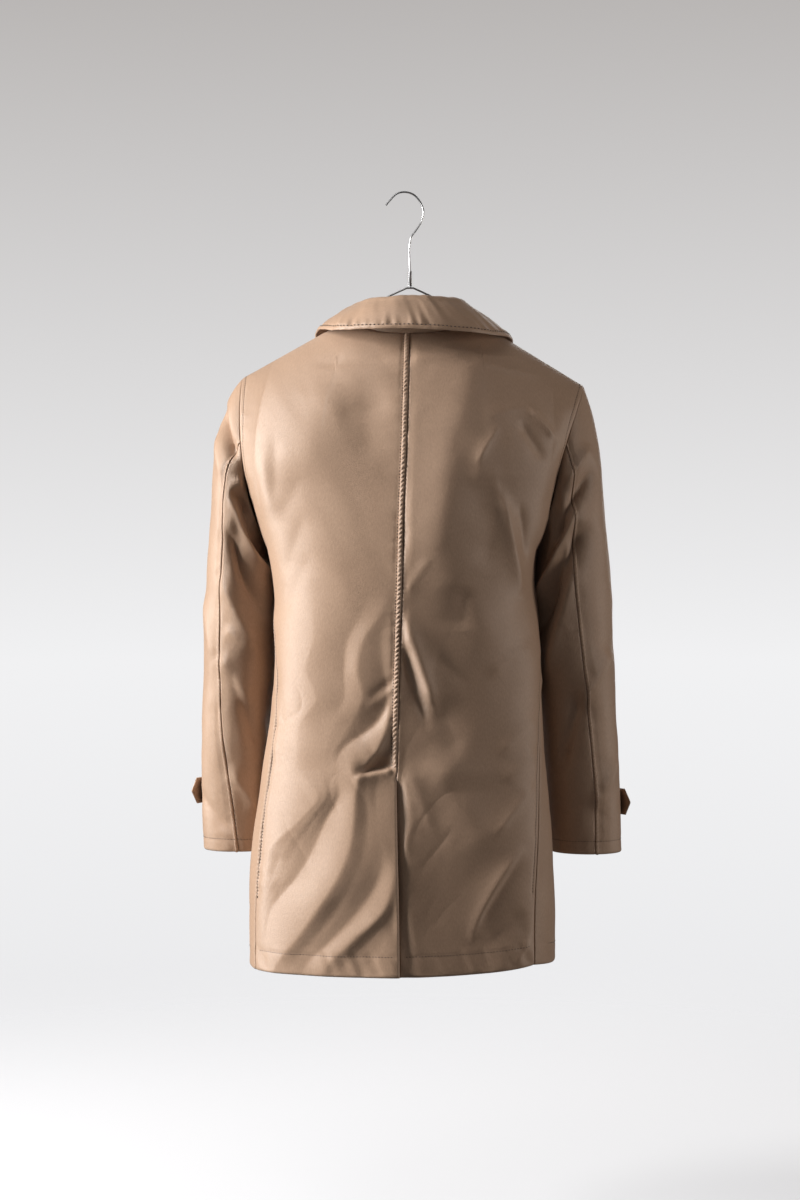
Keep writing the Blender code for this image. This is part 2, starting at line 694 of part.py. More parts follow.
def add_cloth(material, group):
    """The panels of the body and the sleeves, and the vent's underlap."""
    grids = outward_grids()
    underlap = underlap_grid(grids["back_right"][0])
    high, wide = underlap.shape[:2]
    grids["vent_underlap"] = (underlap, [edge_run(np.arange(high), wide - 1, 0, -1)])
    names = list(grids)
    own = {}
    for members in ("sleeve_left", "sleeve_right", "body"):
        inside = [n for n in names if members == sleeve_of(n)]
        own.update(zip(inside, shared_normals([grids[name][0] for name in inside])))
    shared = halved({name: grids[name][0] for name in names}, own)
    for name in names:
        points, sewn = grids[name]
        normal = parted(points, shared[name], own[name], sewn)
        outer = welted(points, normal) if name == "back_left" else points
        inner = points - normal * WALL
        outer = drawn_in(points, outer, shared[name], own[name], sewn)
        inner = drawn_in(points, inner, shared[name], own[name], sewn)
        lofted_wall(name, outer, inner, material, group)
    return shared, grids


def halved(points, own):
    """Normals half way between those of the body and the sleeve where the two are sewn together."""
    met = {}
    for name, grid in points.items():
        flat = np.round(grid, 6).reshape(-1, 3)
        for key, normal in zip(map(tuple, flat), own[name].reshape(-1, 3)):
            met.setdefault(key, {})[sleeve_of(name)] = normal
    shared = {}
    for name, grid in points.items():
        flat = np.round(grid, 6).reshape(-1, 3)
        total = np.array([sum(met[key].values()) for key in map(tuple, flat)])
        total /= np.maximum(np.linalg.norm(total, axis=1, keepdims=True), 1e-9)
        shared[name] = total.reshape(grid.shape)
    return shared


def sleeve_of(name):
    """The group a panel belongs to: one of the sleeves, or the body."""
    return "sleeve_" + name.split("_")[-1] if name.startswith("sleeve") else "body"


def into_panel(points, own, run):
    """Unit directions from a sewn edge into its panel, square to the seam."""
    line = points[run.rows, run.columns]
    along = np.gradient(line, axis=0)
    into = np.cross(own[run.rows, run.columns], along)
    inside = points[run.rows + run.into_row, run.columns + run.into_column]
    into *= np.sign(((inside - line) * into).sum(-1, keepdims=True))
    return into / np.maximum(np.linalg.norm(into, axis=-1, keepdims=True), 1e-12)


def parted(points, shared, own, sewn):
    """Normals along which a panel is thickened: its own ones where two panels face each other."""
    normal = shared.copy()
    for run in sewn:
        edge = (run.rows, run.columns)
        hollow = (shared[edge] * into_panel(points, own, run)).sum(-1, keepdims=True) > 0.05
        normal[edge] = np.where(hollow, own[edge], normal[edge])
    return normal


def welted(points, normal):
    """Raises the welt beside the centre back seam; the middle edge is the last column here."""
    raised = points.copy()
    z = points[..., 2]
    low = ease((z - VENT_TOP_Z) / 0.02)
    for c in (-1, -2):
        raised[:, c] += normal[:, c] * (WELT_HIGH * low[:, c])[:, None]
    return raised


def neck_half(side):
    """Neckline points from the middle of the back to the middle of the front, with the share of its length."""
    back = columns(side, BACK)
    front = columns(side, FRONT)
    back = back[back <= NECK_SHARE[BACK] + 1e-9]
    front = front[(front >= FRONT_MIDDLE_SHARE - 1e-9) & (front <= NECK_SHARE[FRONT] + 1e-9)]
    points = np.concatenate([
        body_point(side, BACK, back, 3.0), body_point(side, FRONT, front[::-1], 3.0)[1:],
    ])
    points[-1] = points[-1] * (1.0 - COLLAR_SHORT) + points[-2] * COLLAR_SHORT
    gone = np.concatenate([[0.0], np.cumsum(np.linalg.norm(np.diff(points, axis=0), axis=1))])
    return points, gone / gone[-1]


def collar_lines():
    """For each neckline column: the neckline point, the fold line point and the fall's outer edge."""
    neck, fold, edge = [], [], []
    for side, word in ((LEFT, "left"), (RIGHT, "right")):
        points, share = neck_half(side)
        at = [row.share for row in COLLAR_FOLD]
        f = np.stack([through(at, [getattr(row, k) for row in COLLAR_FOLD], share) for k in "xyz"], -1)
        f[:, 0] = COLLAR_CENTRE_X * (1.0 - share) + side * f[:, 0]
        at = [row.share for row in COLLAR_EDGE]
        e = np.stack([
            through(at, [getattr(row, word + "_" + k) for row in COLLAR_EDGE], share) for k in "xyz"
        ], -1)
        order = slice(None, None, -1) if side == LEFT else slice(1, None)
        neck.append(points[order])
        fold.append(f[order])
        edge.append(e[order])
    return np.concatenate(neck), np.concatenate(fold), np.concatenate(edge)


def add_collar(material, group):
    """The stand, from the neckline up to the fold line, and the fall, from the fold out and down."""
    neck, fold, edge = collar_lines()
    up = np.array([0.0, 0.0, 1.0])
    outward = fold - np.array([0.0, 0.0, 0.0])
    outward[:, 2] = 0.0
    outward /= np.linalg.norm(outward, axis=1, keepdims=True)
    foot = neck + up * STAND_LIFT - outward * 0.0004
    t = np.linspace(0.0, 1.0, STAND_ROWS + 1)[:, None, None]
    bow = np.sin(np.pi * t) * 0.003
    stand = foot[None] * (1.0 - t) + fold[None] * t + outward[None] * bow
    lofted_wall("collar_stand", stand, stand - outward[None] * COLLAR_WALL, material, group)

    along = np.gradient(fold, axis=0)
    roof = np.cross(outward, along)
    roof /= np.linalg.norm(roof, axis=1, keepdims=True)
    roof *= np.sign(roof[:, 2:])
    lift = SEAM_GAP * 2.0 + COLLAR_WALL
    first = fold - outward * COLLAR_WALL + roof * lift
    knee = fold + outward * FALL_ROLL + roof * (lift + 0.001)
    t = np.linspace(0.0, 1.0, FALL_ROWS + 1)[:, None, None]
    soft = t ** 1.25
    reach = edge - knee
    bulge = np.cross(reach, np.gradient(edge, axis=0))
    bulge /= np.linalg.norm(bulge, axis=1, keepdims=True)
    bulge *= np.sign((bulge * (outward + up)).sum(1, keepdims=True))
    fall = knee[None] + reach[None] * soft + bulge[None] * np.sin(np.pi * soft) * FALL_BULGE
    fall = np.concatenate([first[None], fall], axis=0)
    normal = facing(fall)
    middle = normal[:, normal.shape[1] // 2]
    normal *= np.sign((middle * (outward[len(outward) // 2] + up)).sum())
    lofted_wall("collar_fall", fall, fall - normal * COLLAR_WALL, material, group)


def add_tab(side, word, cloth, horn, group):
    """A pointed cuff tab over the front of the sleeve; its tip leaves the sleeve along the tangent."""
    table = SLEEVE[side]
    turns = np.linspace(TAB_START_TURN, TAB_LEAVE_TURN, 7)
    heights = TAB_TOP_Z[side] - TAB_WIDE * np.linspace(0.0, 1.0, 5)
    laid = []
    for z in heights:
        line = sleeve_ring(side, turns, np.full(turns.shape, z))
        middle = np.array([
            column(table, "outer_x", z) - side * column(table, "half_wide", z), column(table, "middle_y", z), z,
        ])
        out = line - middle
        out /= np.linalg.norm(out, axis=1, keepdims=True)
        laid.append(line + out * (TAB_OFF + TAB_WALL))
    laid = np.array(laid)
    leave = laid[:, -1] - laid[:, -2]
    leave /= np.linalg.norm(leave, axis=1, keepdims=True)
    swing = np.array([side * 0.12, 0.0, 0.0])
    middle_row = np.abs(np.linspace(-1.0, 1.0, 5))[:, None]
    tip = []
    for share in (0.34, 0.68, 1.0):
        long = TAB_TIP[side] * share - TAB_POINT * middle_row * share ** 3
        tip.append(laid[:, -1] + (leave + swing * share) * long)
    points = np.concatenate([laid, np.stack(tip, axis=1)], axis=1)
    normal = facing(points)
    normal *= np.sign(normal[2, 3, 1])
    lofted_wall("cuff_tab_" + word, points, points - normal * TAB_WALL, cloth, group)
    i = int(round(TAB_BUTTON_SHARE * 6))
    seat = points[2, i] + normal[2, i] * BUTTON_OFF
    add_button("cuff_button_" + word, seat, normal[2, i], TAB_BUTTON_RADIUS, horn, group)


def add_button(name, seat, out, radius, material, group):
    """A plain turned button with rounded rims, its back at seat, facing out."""
    bm = bmesh.new()
    bmesh.ops.create_cone(
        bm, cap_ends=True, segments=24, radius1=radius, radius2=radius, depth=BUTTON_THICK,
    )
    rims = [e for e in bm.edges if abs(e.verts[0].co.z - e.verts[1].co.z) < 1e-6]
    bmesh.ops.bevel(bm, geom=rims, offset=0.0008, offset_type="OFFSET", segments=1, profile=0.5,
                    affect="EDGES", material=-1)
    bmesh.ops.translate(bm, verts=bm.verts, vec=(0.0, 0.0, BUTTON_THICK / 2.0))
    turn = Vector((0.0, 0.0, 1.0)).rotation_difference(Vector(out)).to_matrix().to_4x4()
    bmesh.ops.transform(bm, matrix=Matrix.Translation(Vector(seat)) @ turn, verts=bm.verts)
    placed(name, bm, material, group)


def add_front_buttons(grids, normals, horn, group):
    """Buttons down the middle of the left front, where the right front lies under it."""
    points = grids["front_left"][0]
    normal = normals["front_left"]
    for i, z in enumerate(BUTTON_Z):
        middle = float(column(BODY, "middle_x", z))
        gone = np.abs(points[..., 0] - middle) + np.abs(points[..., 2] - z)
        r, c = np.unravel_index(np.argmin(gone), gone.shape)
        add_button("front_button_%d" % (i + 1), points[r, c] + normal[r, c] * BUTTON_OFF,
                   normal[r, c], BUTTON_RADIUS, horn, group)


def wire(name, points, closed, radius, sides, material, group):
    """A round wire along a smooth path of points in the XZ plane of the hanger."""
    curve = bpy.data.curves.new(name, "CURVE")
    curve.dimensions = "3D"
    curve.bevel_depth = radius
    curve.bevel_resolution = max(sides // 4 - 1, 0) + 1
    curve.resolution_u = 1
    curve.render_resolution_u = 0
    curve.use_fill_caps = not closed
    spline = curve.splines.new("POLY")
    spline.points.add(len(points) - 1)
    for p, (x, z) in zip(spline.points, points):
        p.co = (x, 0.0, z, 1.0)
    spline.use_cyclic_u = closed
    curve.materials.append(material)
    made = bpy.data.objects.new(name, curve)
    group.objects.link(made)


def rounded(points, count):
    """More points on a smooth path through the given ones, evenly spread."""
    p = np.array(points)
    gone = np.concatenate([[0.0], np.cumsum(np.linalg.norm(np.diff(p, axis=0), axis=1))])
    at = np.linspace(0.0, gone[-1], count)
    return list(zip(through(gone, p[:, 0], at), through(gone, p[:, 1], at)))


def add_hanger(material, group):
    """Hook and stem, the twist below them, and the frame that carries the shoulders."""
    wire("hanger_hook", rounded(HOOK_TURN, 30), False, WIRE_RADIUS, WIRE_SIDES, material, group)

    bm = bmesh.new()
    bmesh.ops.create_cone(bm, cap_ends=True, segments=16, radius1=TWIST_RADIUS, radius2=TWIST_RADIUS,
                          depth=TWIST_TOP_Z - TWIST_BOTTOM_Z)
    bmesh.ops.translate(bm, verts=bm.verts, vec=(0.0, 0.0, (TWIST_TOP_Z + TWIST_BOTTOM_Z) / 2.0))
    placed("hanger_twist", bm, material, group)

    arms = {}
    for side in (LEFT, RIGHT):
        s = SHOULDER[side]
        slope = (s.point_z - s.neck_z) / (abs(s.point_x) - abs(s.neck_x))
        rows_out = [ARM_START, ARM_SEEN]
        for x in (abs(s.neck_x) + 0.006, 0.150, ARM_END):
            rows_out.append((x, s.neck_z + slope * (x - abs(s.neck_x)) - ARM_UNDER))
        arms[side] = rounded(rows_out, 12)
    low = min(arms[LEFT][-1][1], arms[RIGHT][-1][1]) - BAR_DROP
    ends = {side: arms[side][-1] for side in arms}
    path = [(COAT_X - x, z) for x, z in arms[LEFT]]
    path += end_turn(LEFT, ends[LEFT], low)
    path += end_turn(RIGHT, ends[RIGHT], low)[::-1]
    path += [(COAT_X + x, z) for x, z in arms[RIGHT]][::-1]
    wire("hanger_frame", path, True, WIRE_RADIUS, WIRE_SIDES, material, group)


def end_turn(side, end, low):
    """The bend at a shoulder end, from the arm's slope round to the bar."""
    x, z = end
    first = math.radians(ARM_TURN)
    radius = (z - low) / (1.0 + math.sin(first))
    middle_x = x - radius * math.cos(first)
    middle_z = z - radius * math.sin(first)
    turned = []
    for share in (0.2, 0.4, 0.6, 0.8, 1.0):
        a = first + (math.radians(-90.0) - first) * share
        turned.append((COAT_X + side * (middle_x + radius * math.cos(a)), middle_z + radius * math.sin(a)))
    return turned


def main():
    """Clears the scene and builds the coat on its hanger."""
    for old in list(bpy.data.objects):
        bpy.data.objects.remove(old, do_unlink=True)
    group = bpy.data.collections.new("padded_coat_on_wire_hanger")
    bpy.context.scene.collection.children.link(group)
    cloth = finish("tan_cloth", CLOTH, 0.0, 0.6)
    horn = finish("horn_button", HORN, 0.0, 0.4)
    steel = finish("steel_wire", STEEL, 1.0, 0.3)
    normals, grids = add_cloth(cloth, group)
    add_collar(cloth, group)
    for side, word in ((LEFT, "left"), (RIGHT, "right")):
        add_tab(side, word, cloth, horn, group)
    add_front_buttons(grids, normals, horn, group)
    add_hanger(steel, group)


main()
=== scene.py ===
"""Dresses a padded coat that hangs closed on a wire hanger, seen from the back.

The cloth pieces repeat the form of their solids on finer grids, and add the creases, welts, puckers
and sewing that the solids leave out. Metres, +Z up. The back faces -Y and +X is the wearer's right.
"""

import json
import logging
import math
from collections.abc import Sequence
from dataclasses import dataclass
from enum import Enum, IntEnum
from typing import NamedTuple

import bmesh
import bpy
import numpy as np
from mathutils import Matrix, Vector

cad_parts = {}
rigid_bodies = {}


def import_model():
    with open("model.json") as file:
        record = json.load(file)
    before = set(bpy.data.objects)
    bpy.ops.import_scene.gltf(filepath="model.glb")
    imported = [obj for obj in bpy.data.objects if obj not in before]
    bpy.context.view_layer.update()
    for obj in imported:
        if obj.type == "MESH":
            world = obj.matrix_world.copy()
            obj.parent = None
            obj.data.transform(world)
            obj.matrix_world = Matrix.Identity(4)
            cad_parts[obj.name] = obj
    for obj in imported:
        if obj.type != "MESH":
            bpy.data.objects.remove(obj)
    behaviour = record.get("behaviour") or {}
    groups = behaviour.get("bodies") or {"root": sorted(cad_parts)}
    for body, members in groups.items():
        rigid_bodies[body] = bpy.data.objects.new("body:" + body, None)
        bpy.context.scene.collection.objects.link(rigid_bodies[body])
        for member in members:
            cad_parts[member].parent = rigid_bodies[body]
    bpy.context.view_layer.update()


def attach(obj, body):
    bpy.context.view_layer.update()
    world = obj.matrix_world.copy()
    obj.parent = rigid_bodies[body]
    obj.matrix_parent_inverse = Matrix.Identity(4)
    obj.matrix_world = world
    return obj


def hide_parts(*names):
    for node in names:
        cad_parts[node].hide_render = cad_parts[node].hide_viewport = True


LOG = logging.getLogger("padded_coat")
BACK_FLAT = (0.270, 0.880)
FRONT_FLAT = (0.330, 0.860)
FRONT_STEP = 0.0040
Array = np.ndarray
Material = bpy.types.Material
Piece = bpy.types.Object
Socket = bpy.types.NodeSocket


class Side(IntEnum):
    """The wearer's left or right, as the sign of X."""

    LEFT = -1
    RIGHT = 1

    @property
    def word(self) -> str:
        """The side's name, as the solids have it."""
        return self.name.lower()


class Part(Enum):
    """The half of the body that a panel belongs to."""

    BACK = "back"
    FRONT = "front"


class Half(Enum):
    """The two pieces of a sleeve."""

    UPPER = "upper"
    UNDER = "under"


class Edge(Enum):
    """An edge of a grid of cloth points."""

    FIRST_COLUMN = "first column"
    LAST_COLUMN = "last column"
    FIRST_ROW = "first row"
    LAST_ROW = "last row"


class Level(NamedTuple):
    """A level section of the body."""

    z: float
    middle_x: float
    left_x: float
    right_x: float
    widest_y: float
    back_y: float
    front_y: float


class Turn(NamedTuple):
    """Degrees round from the middle of the back at which a seam lies."""

    z: float
    left: float
    right: float


class ShoulderLine(NamedTuple):
    """The two ends of a shoulder seam."""

    neck_x: float
    neck_z: float
    point_x: float
    point_z: float


class SleeveLevel(NamedTuple):
    """A level section of a sleeve, and the turn of its back seam from the outer side."""

    z: float
    outer_x: float
    half_wide: float
    middle_y: float
    half_deep: float
    seam_turn: float


class Fold(NamedTuple):
    """A ridge (high above 0) or trough along a line, with its reach on both sides of it.

    A fold is listed from its upper end, or from its left end where it lies across. Its sides are then
    left and right, or below and above.
    """

    x0: float
    z0: float
    x1: float
    z1: float
    left: float
    right: float
    high: float
    bow: float = 0.0


class Swell(NamedTuple):
    """One level of a drape: its crests and feet from left to right, in millimetres."""

    z: float
    across: tuple[float, ...]
    high: tuple[float, ...]


class Groove(NamedTuple):
    """How far the groove beside the vent's edge reaches at one height."""

    z: float
    wide: float


class Crease(NamedTuple):
    """A sleeve fold, placed by the share of the way round from the shoulder point and the height."""

    round0: float
    z0: float
    round1: float
    z1: float
    above: float
    below: float
    high: float


class FoldLine(NamedTuple):
    """A point of the collar's fold line, by the share of the way from the back to the front."""

    share: float
    x: float
    y: float
    z: float


class FallEdge(NamedTuple):
    """A point of the collar's outer edge on each side."""

    share: float
    left_x: float
    left_y: float
    left_z: float
    right_x: float
    right_y: float
    right_z: float


class Bulge(NamedTuple):
    """A fuller or hollower place of an under sleeve, by the way round and between two heights."""

    share: float
    wide: float
    low_z: float
    low_ease: float
    high_z: float
    high_ease: float
    seam_ease: float = 0.0

    def share_of(self, share: Array, z: Array, seam: Array) -> Array:
        """How much of the bulge each point has.

        Args:
            share: The point's share of the way round.
            z: Its height.
            seam: Its distance from the back seam.

        Returns:
            Shares from 0 to 1.
        """
        near = ease((z - self.low_z) / self.low_ease) * ease((self.high_z - z) / self.high_ease)
        if self.seam_ease:
            near = near * ease(seam / self.seam_ease)
        return near * np.exp(-((share - self.share) / self.wide) ** 2)


class Lamp(NamedTuple):
    """A soft rectangular light: where it is, what it points at, its size, power and colour."""

    name: str
    at: tuple[float, float, float]
    to: tuple[float, float, float]
    size: tuple[float, float]
    watts: float
    colour: tuple[float, float, float]


def ease(value: Array) -> Array:
    """0 to 1 with a soft start and finish."""
    t = np.clip(value, 0.0, 1.0)
    return t * t * (3.0 - 2.0 * t)


def hermite(start: Array, leave: Array, end: Array, arrive: Array, t: Array) -> Array:
    """A cubic between two points.

    Args:
        start: Where it begins.
        leave: Its tangent there.
        end: Where it ends.
        arrive: Its tangent there.
        t: The places along it, 0 to 1.

    Returns:
        The points at those places.
    """
    rest = 1.0 - t
    return (
        (1.0 + 2.0 * t) * rest ** 2 * start
        + t * rest ** 2 * leave
        + t ** 2 * (3.0 - 2.0 * t) * end
        - t ** 2 * rest * arrive
    )


def through(stations: Sequence[float], values: Sequence[float], at: Array) -> Array:
    """A smooth curve through given values.

    Args:
        stations: Where the values are given.
        values: The values there.
        at: Where the curve is read.

    Returns:
        The curve's values at those places.
    """
    order = np.argsort(stations)
    s = np.asarray(stations, float)[order]
    v = np.asarray(values, float)[order]
    slope = np.gradient(v, s)
    at = np.clip(np.asarray(at, float), s[0], s[-1])
    i = np.clip(np.searchsorted(s, at) - 1, 0, len(s) - 2)
    wide = s[i + 1] - s[i]
    return hermite(v[i], slope[i] * wide, v[i + 1], slope[i + 1] * wide, (at - s[i]) / wide)


def column(table: tuple, name: str, z: Array) -> Array:
    """One column of a table of sections, read at any height."""
    return through([row.z for row in table], [getattr(row, name) for row in table], z)


def bumps(u: Array, v: Array, cell: float, seed: int) -> Array:
    """Seeded soft bumps over a surface.

    Args:
        u: One distance over the surface.
        v: The other.
        cell: The size of a bump.
        seed: Which pattern of bumps.

    Returns:
        Heights from -1 to 1.
    """
    table = np.random.default_rng(seed).uniform(-1.0, 1.0, (61, 61))
    u, v = np.broadcast_arrays(np.asarray(u, float) / cell, np.asarray(v, float) / cell)
    i = np.floor(u).astype(int)
    j = np.floor(v).astype(int)
    s = ease(u - i)
    t = ease(v - j)
    low = table[i % 61, j % 61] * (1.0 - s) + table[(i + 1) % 61, j % 61] * s
    high = table[i % 61, (j + 1) % 61] * (1.0 - s) + table[(i + 1) % 61, (j + 1) % 61] * s
    return low * (1.0 - t) + high * t


def crisp(off: Array) -> Array:
    """The section of a fold in firm cloth: a narrow crest with flanks that run out evenly."""
    return np.exp(0.7 - np.sqrt((off / 0.62) ** 2 + 0.49))


def fold_height(x: Array, z: Array, folds: Sequence[Fold], over: float = 0.10) -> Array:
    """How far a set of folds raises the cloth, seen square on.

    Args:
        x: Places across.
        z: Places up.
        folds: The folds.
        over: How far each runs on past its ends, as a share of its length.

    Returns:
        The height at each place.
    """
    total = np.zeros_like(x)
    for f in folds:
        run_x = f.x1 - f.x0
        run_z = f.z1 - f.z0
        long = math.hypot(run_x, run_z)
        t = ((x - f.x0) * run_x + (z - f.z0) * run_z) / long ** 2
        off = ((z - f.z0) * run_x - (x - f.x0) * run_z) / long
        here = np.clip(t, 0.0, 1.0)
        off = off - f.bow * 4.0 * here * (1.0 - here)
        wide = np.where(off < 0.0, f.left, f.right)
        ends = ease((t + over) / 0.35) * ease((1.0 + over - t) / 0.35)
        total += f.high * ends * crisp(off / wide)
    return total


def drape_height(x: Array, z: Array, swells: tuple, soft: float = 0.35) -> Array:
    """How far a drape, drawn level by level, raises the cloth.

    Args:
        x: Places across.
        z: Places up.
        swells: The levels.
        soft: 0 for sharp crests and feet, 1 for round ones.

    Returns:
        The height at each place.
    """
    levels = [level.z for level in swells]
    across = [through(levels, values, z) * 0.001 for values in zip(*(level.across for level in swells))]
    high = [through(levels, values, z) * 0.001 for values in zip(*(level.high for level in swells))]
    total = high[0]
    for k in range(len(across) - 1):
        t = np.clip((x - across[k]) / np.maximum(across[k + 1] - across[k], 0.001), 0.0, 1.0)
        total = total + (high[k + 1] - high[k]) * (t + soft * (ease(t) - t))
    return total


def spread(long: float, step: float, first: float, last: float) -> Array:
    """Places from 0 to 1 along a length, closer together near its ends.

    Args:
        long: The length in metres.
        step: The spacing in the middle.
        first: The spacing at the start.
        last: The spacing at the end.

    Returns:
        The places, in order.
    """
    places = [0.0]
    while places[-1] < long:
        here = places[-1]
        grown = min(step, first + 0.22 * here, last + 0.22 * max(long - here, 0.0))
        places.append(here + grown)
    return np.array(places) / places[-1]


def lengths(points: Array) -> Array:
    """How far each point of a line lies along it."""
    return np.concatenate([[0.0], np.cumsum(np.linalg.norm(np.diff(points, axis=0), axis=1))])


def walked(points: Array, gone: Array, at: Array) -> Array:
    """Points of a line at given distances along it, by how far its own points lie along it."""
    return np.stack([np.interp(at, gone, points[:, k]) for k in range(3)], -1)


def unit(vectors: Array) -> Array:
    """Vectors of the same directions, one long."""
    return vectors / np.maximum(np.linalg.norm(vectors, axis=-1, keepdims=True), 1e-12)


def linked(name: str, mesh: bpy.types.Mesh, material: Material) -> Piece:
    """A mesh as a smooth object at the origin.

    Args:
        name: The piece's name.
        mesh: Its mesh.
        material: Its finish.

    Returns:
        The piece.
    """
    mesh.shade_smooth()
    mesh.materials.append(material)
    piece = bpy.data.objects.new(name, mesh)
    bpy.context.scene.collection.objects.link(piece)
    return piece


@dataclass
class ClothGrid:
    """Outer points of a cloth piece in rows and columns, with unit normals that face out."""

    points: Array
    out: Array

    @classmethod
    def facing(cls, points: Array, away_from: Array) -> "ClothGrid":
        """A grid whose normals point away from a place or a line of places.

        Args:
            points: The grid's points.
            away_from: What lies inside.

        Returns:
            The grid.
        """
        out = unit(np.cross(np.gradient(points, axis=1), np.gradient(points, axis=0)))
        if float((out * (points - away_from)).sum()) < 0.0:
            out = -out
        return cls(points, out)

    def raised(self, height: Array) -> "ClothGrid":
        """The grid with its points moved out by a height, and its normals worked out again."""
        points = self.points + self.out * height[..., None]
        return ClothGrid.facing(points, points - self.out)

    def from_edge(self, edge: Edge) -> Array:
        """How far each point lies from an edge, along its own row or column.

        Args:
            edge: The edge.

        Returns:
            Distances in metres.
        """
        across = edge in (Edge.FIRST_COLUMN, Edge.LAST_COLUMN)
        axis = 1 if across else 0
        step = np.linalg.norm(np.diff(self.points, axis=axis), axis=-1)
        gone = np.cumsum(np.pad(step, ((0, 0), (1, 0)) if across else ((1, 0), (0, 0))), axis=axis)
        if edge in (Edge.LAST_COLUMN, Edge.LAST_ROW):
            gone = gone.max(axis=axis, keepdims=True) - gone
        return gone

    def line(self, edge: Edge, distance: float) -> tuple[Array, Array]:
        """The line that runs at a distance from an edge.

        Args:
            edge: The edge.
            distance: How far from it.

        Returns:
            The line's points, and the normals there.
        """
        found = [self.from_edge(edge), self.points, self.out]
        if edge in (Edge.FIRST_ROW, Edge.LAST_ROW):
            found = [values.swapaxes(0, 1) for values in found]
        if edge in (Edge.LAST_COLUMN, Edge.LAST_ROW):
            found = [values[:, ::-1] for values in found]
        gone, points, out = found
        count = gone.shape[1]
        at = np.array([np.interp(distance, row, np.arange(count)) for row in gone])
        low = np.clip(np.floor(at).astype(int), 0, count - 2)
        share = (at - low)[:, None]
        index = np.arange(len(at))
        place = points[index, low] * (1.0 - share) + points[index, low + 1] * share
        normal = out[index, low] * (1.0 - share) + out[index, low + 1] * share
        return place, unit(normal)

    def area(self) -> float:
        """The surface of the grid in square metres."""
        p = self.points
        quad = np.cross(p[1:, 1:] - p[:-1, :-1], p[1:, :-1] - p[:-1, 1:])
        return float(np.linalg.norm(quad, axis=-1).sum() / 2.0)

    def object(self, name: str, wall: float, material: Material, wear: Array) -> Piece:
        """A cloth wall whose outer side is this grid.

        Args:
            name: The piece's name.
            wall: How thick the cloth is.
            material: Its finish.
            wear: How rubbed each point is up to 1, or how deep in a pucker down to -1, which darkens its
                colour as painted shade.

        Returns:
            The piece.
        """
        rows, columns = self.points.shape[:2]
        bm = bmesh.new()
        bmesh.ops.create_grid(bm, x_segments=columns - 1, y_segments=rows - 1, size=0.5)
        mesh = bpy.data.meshes.new(name)
        bm.to_mesh(mesh)
        bm.free()
        place = np.zeros(len(mesh.vertices) * 3)
        mesh.vertices.foreach_get("co", place)
        place = place.reshape(-1, 3)
        c = np.rint((place[:, 0] + 0.5) * (columns - 1)).astype(int)
        r = np.rint((place[:, 1] + 0.5) * (rows - 1)).astype(int)
        mesh.vertices.foreach_set("co", self.points[r, c].ravel())
        mesh.update()
        corner = np.zeros(len(mesh.loops), int)
        mesh.loops.foreach_get("vertex_index", corner)
        flat = np.stack([self.from_edge(Edge.FIRST_COLUMN), self.from_edge(Edge.FIRST_ROW)], -1)
        mesh.uv_layers.new(name="cloth").data.foreach_set("uv", flat[r[corner], c[corner]].ravel())
        # The attribute pales rubbed points above 0 and paints shade into deep notches below 0.
        rubbed = mesh.attributes.new("wear", "FLOAT", "POINT")
        rubbed.data.foreach_set("value", np.clip(wear[r, c], -1.0, 1.0).astype(np.float32))
        first = mesh.polygons[len(mesh.polygons) // 2]
        middle = first.vertices[0]
        if float(np.dot(np.array(first.normal), self.out[r[middle], c[middle]])) < 0.0:
            mesh.flip_normals()
        piece = linked(name, mesh, material)
        made = piece.modifiers.new("wall", "SOLIDIFY")
        made.thickness = wall
        made.offset = -1.0
        made.use_rim = True
        return piece


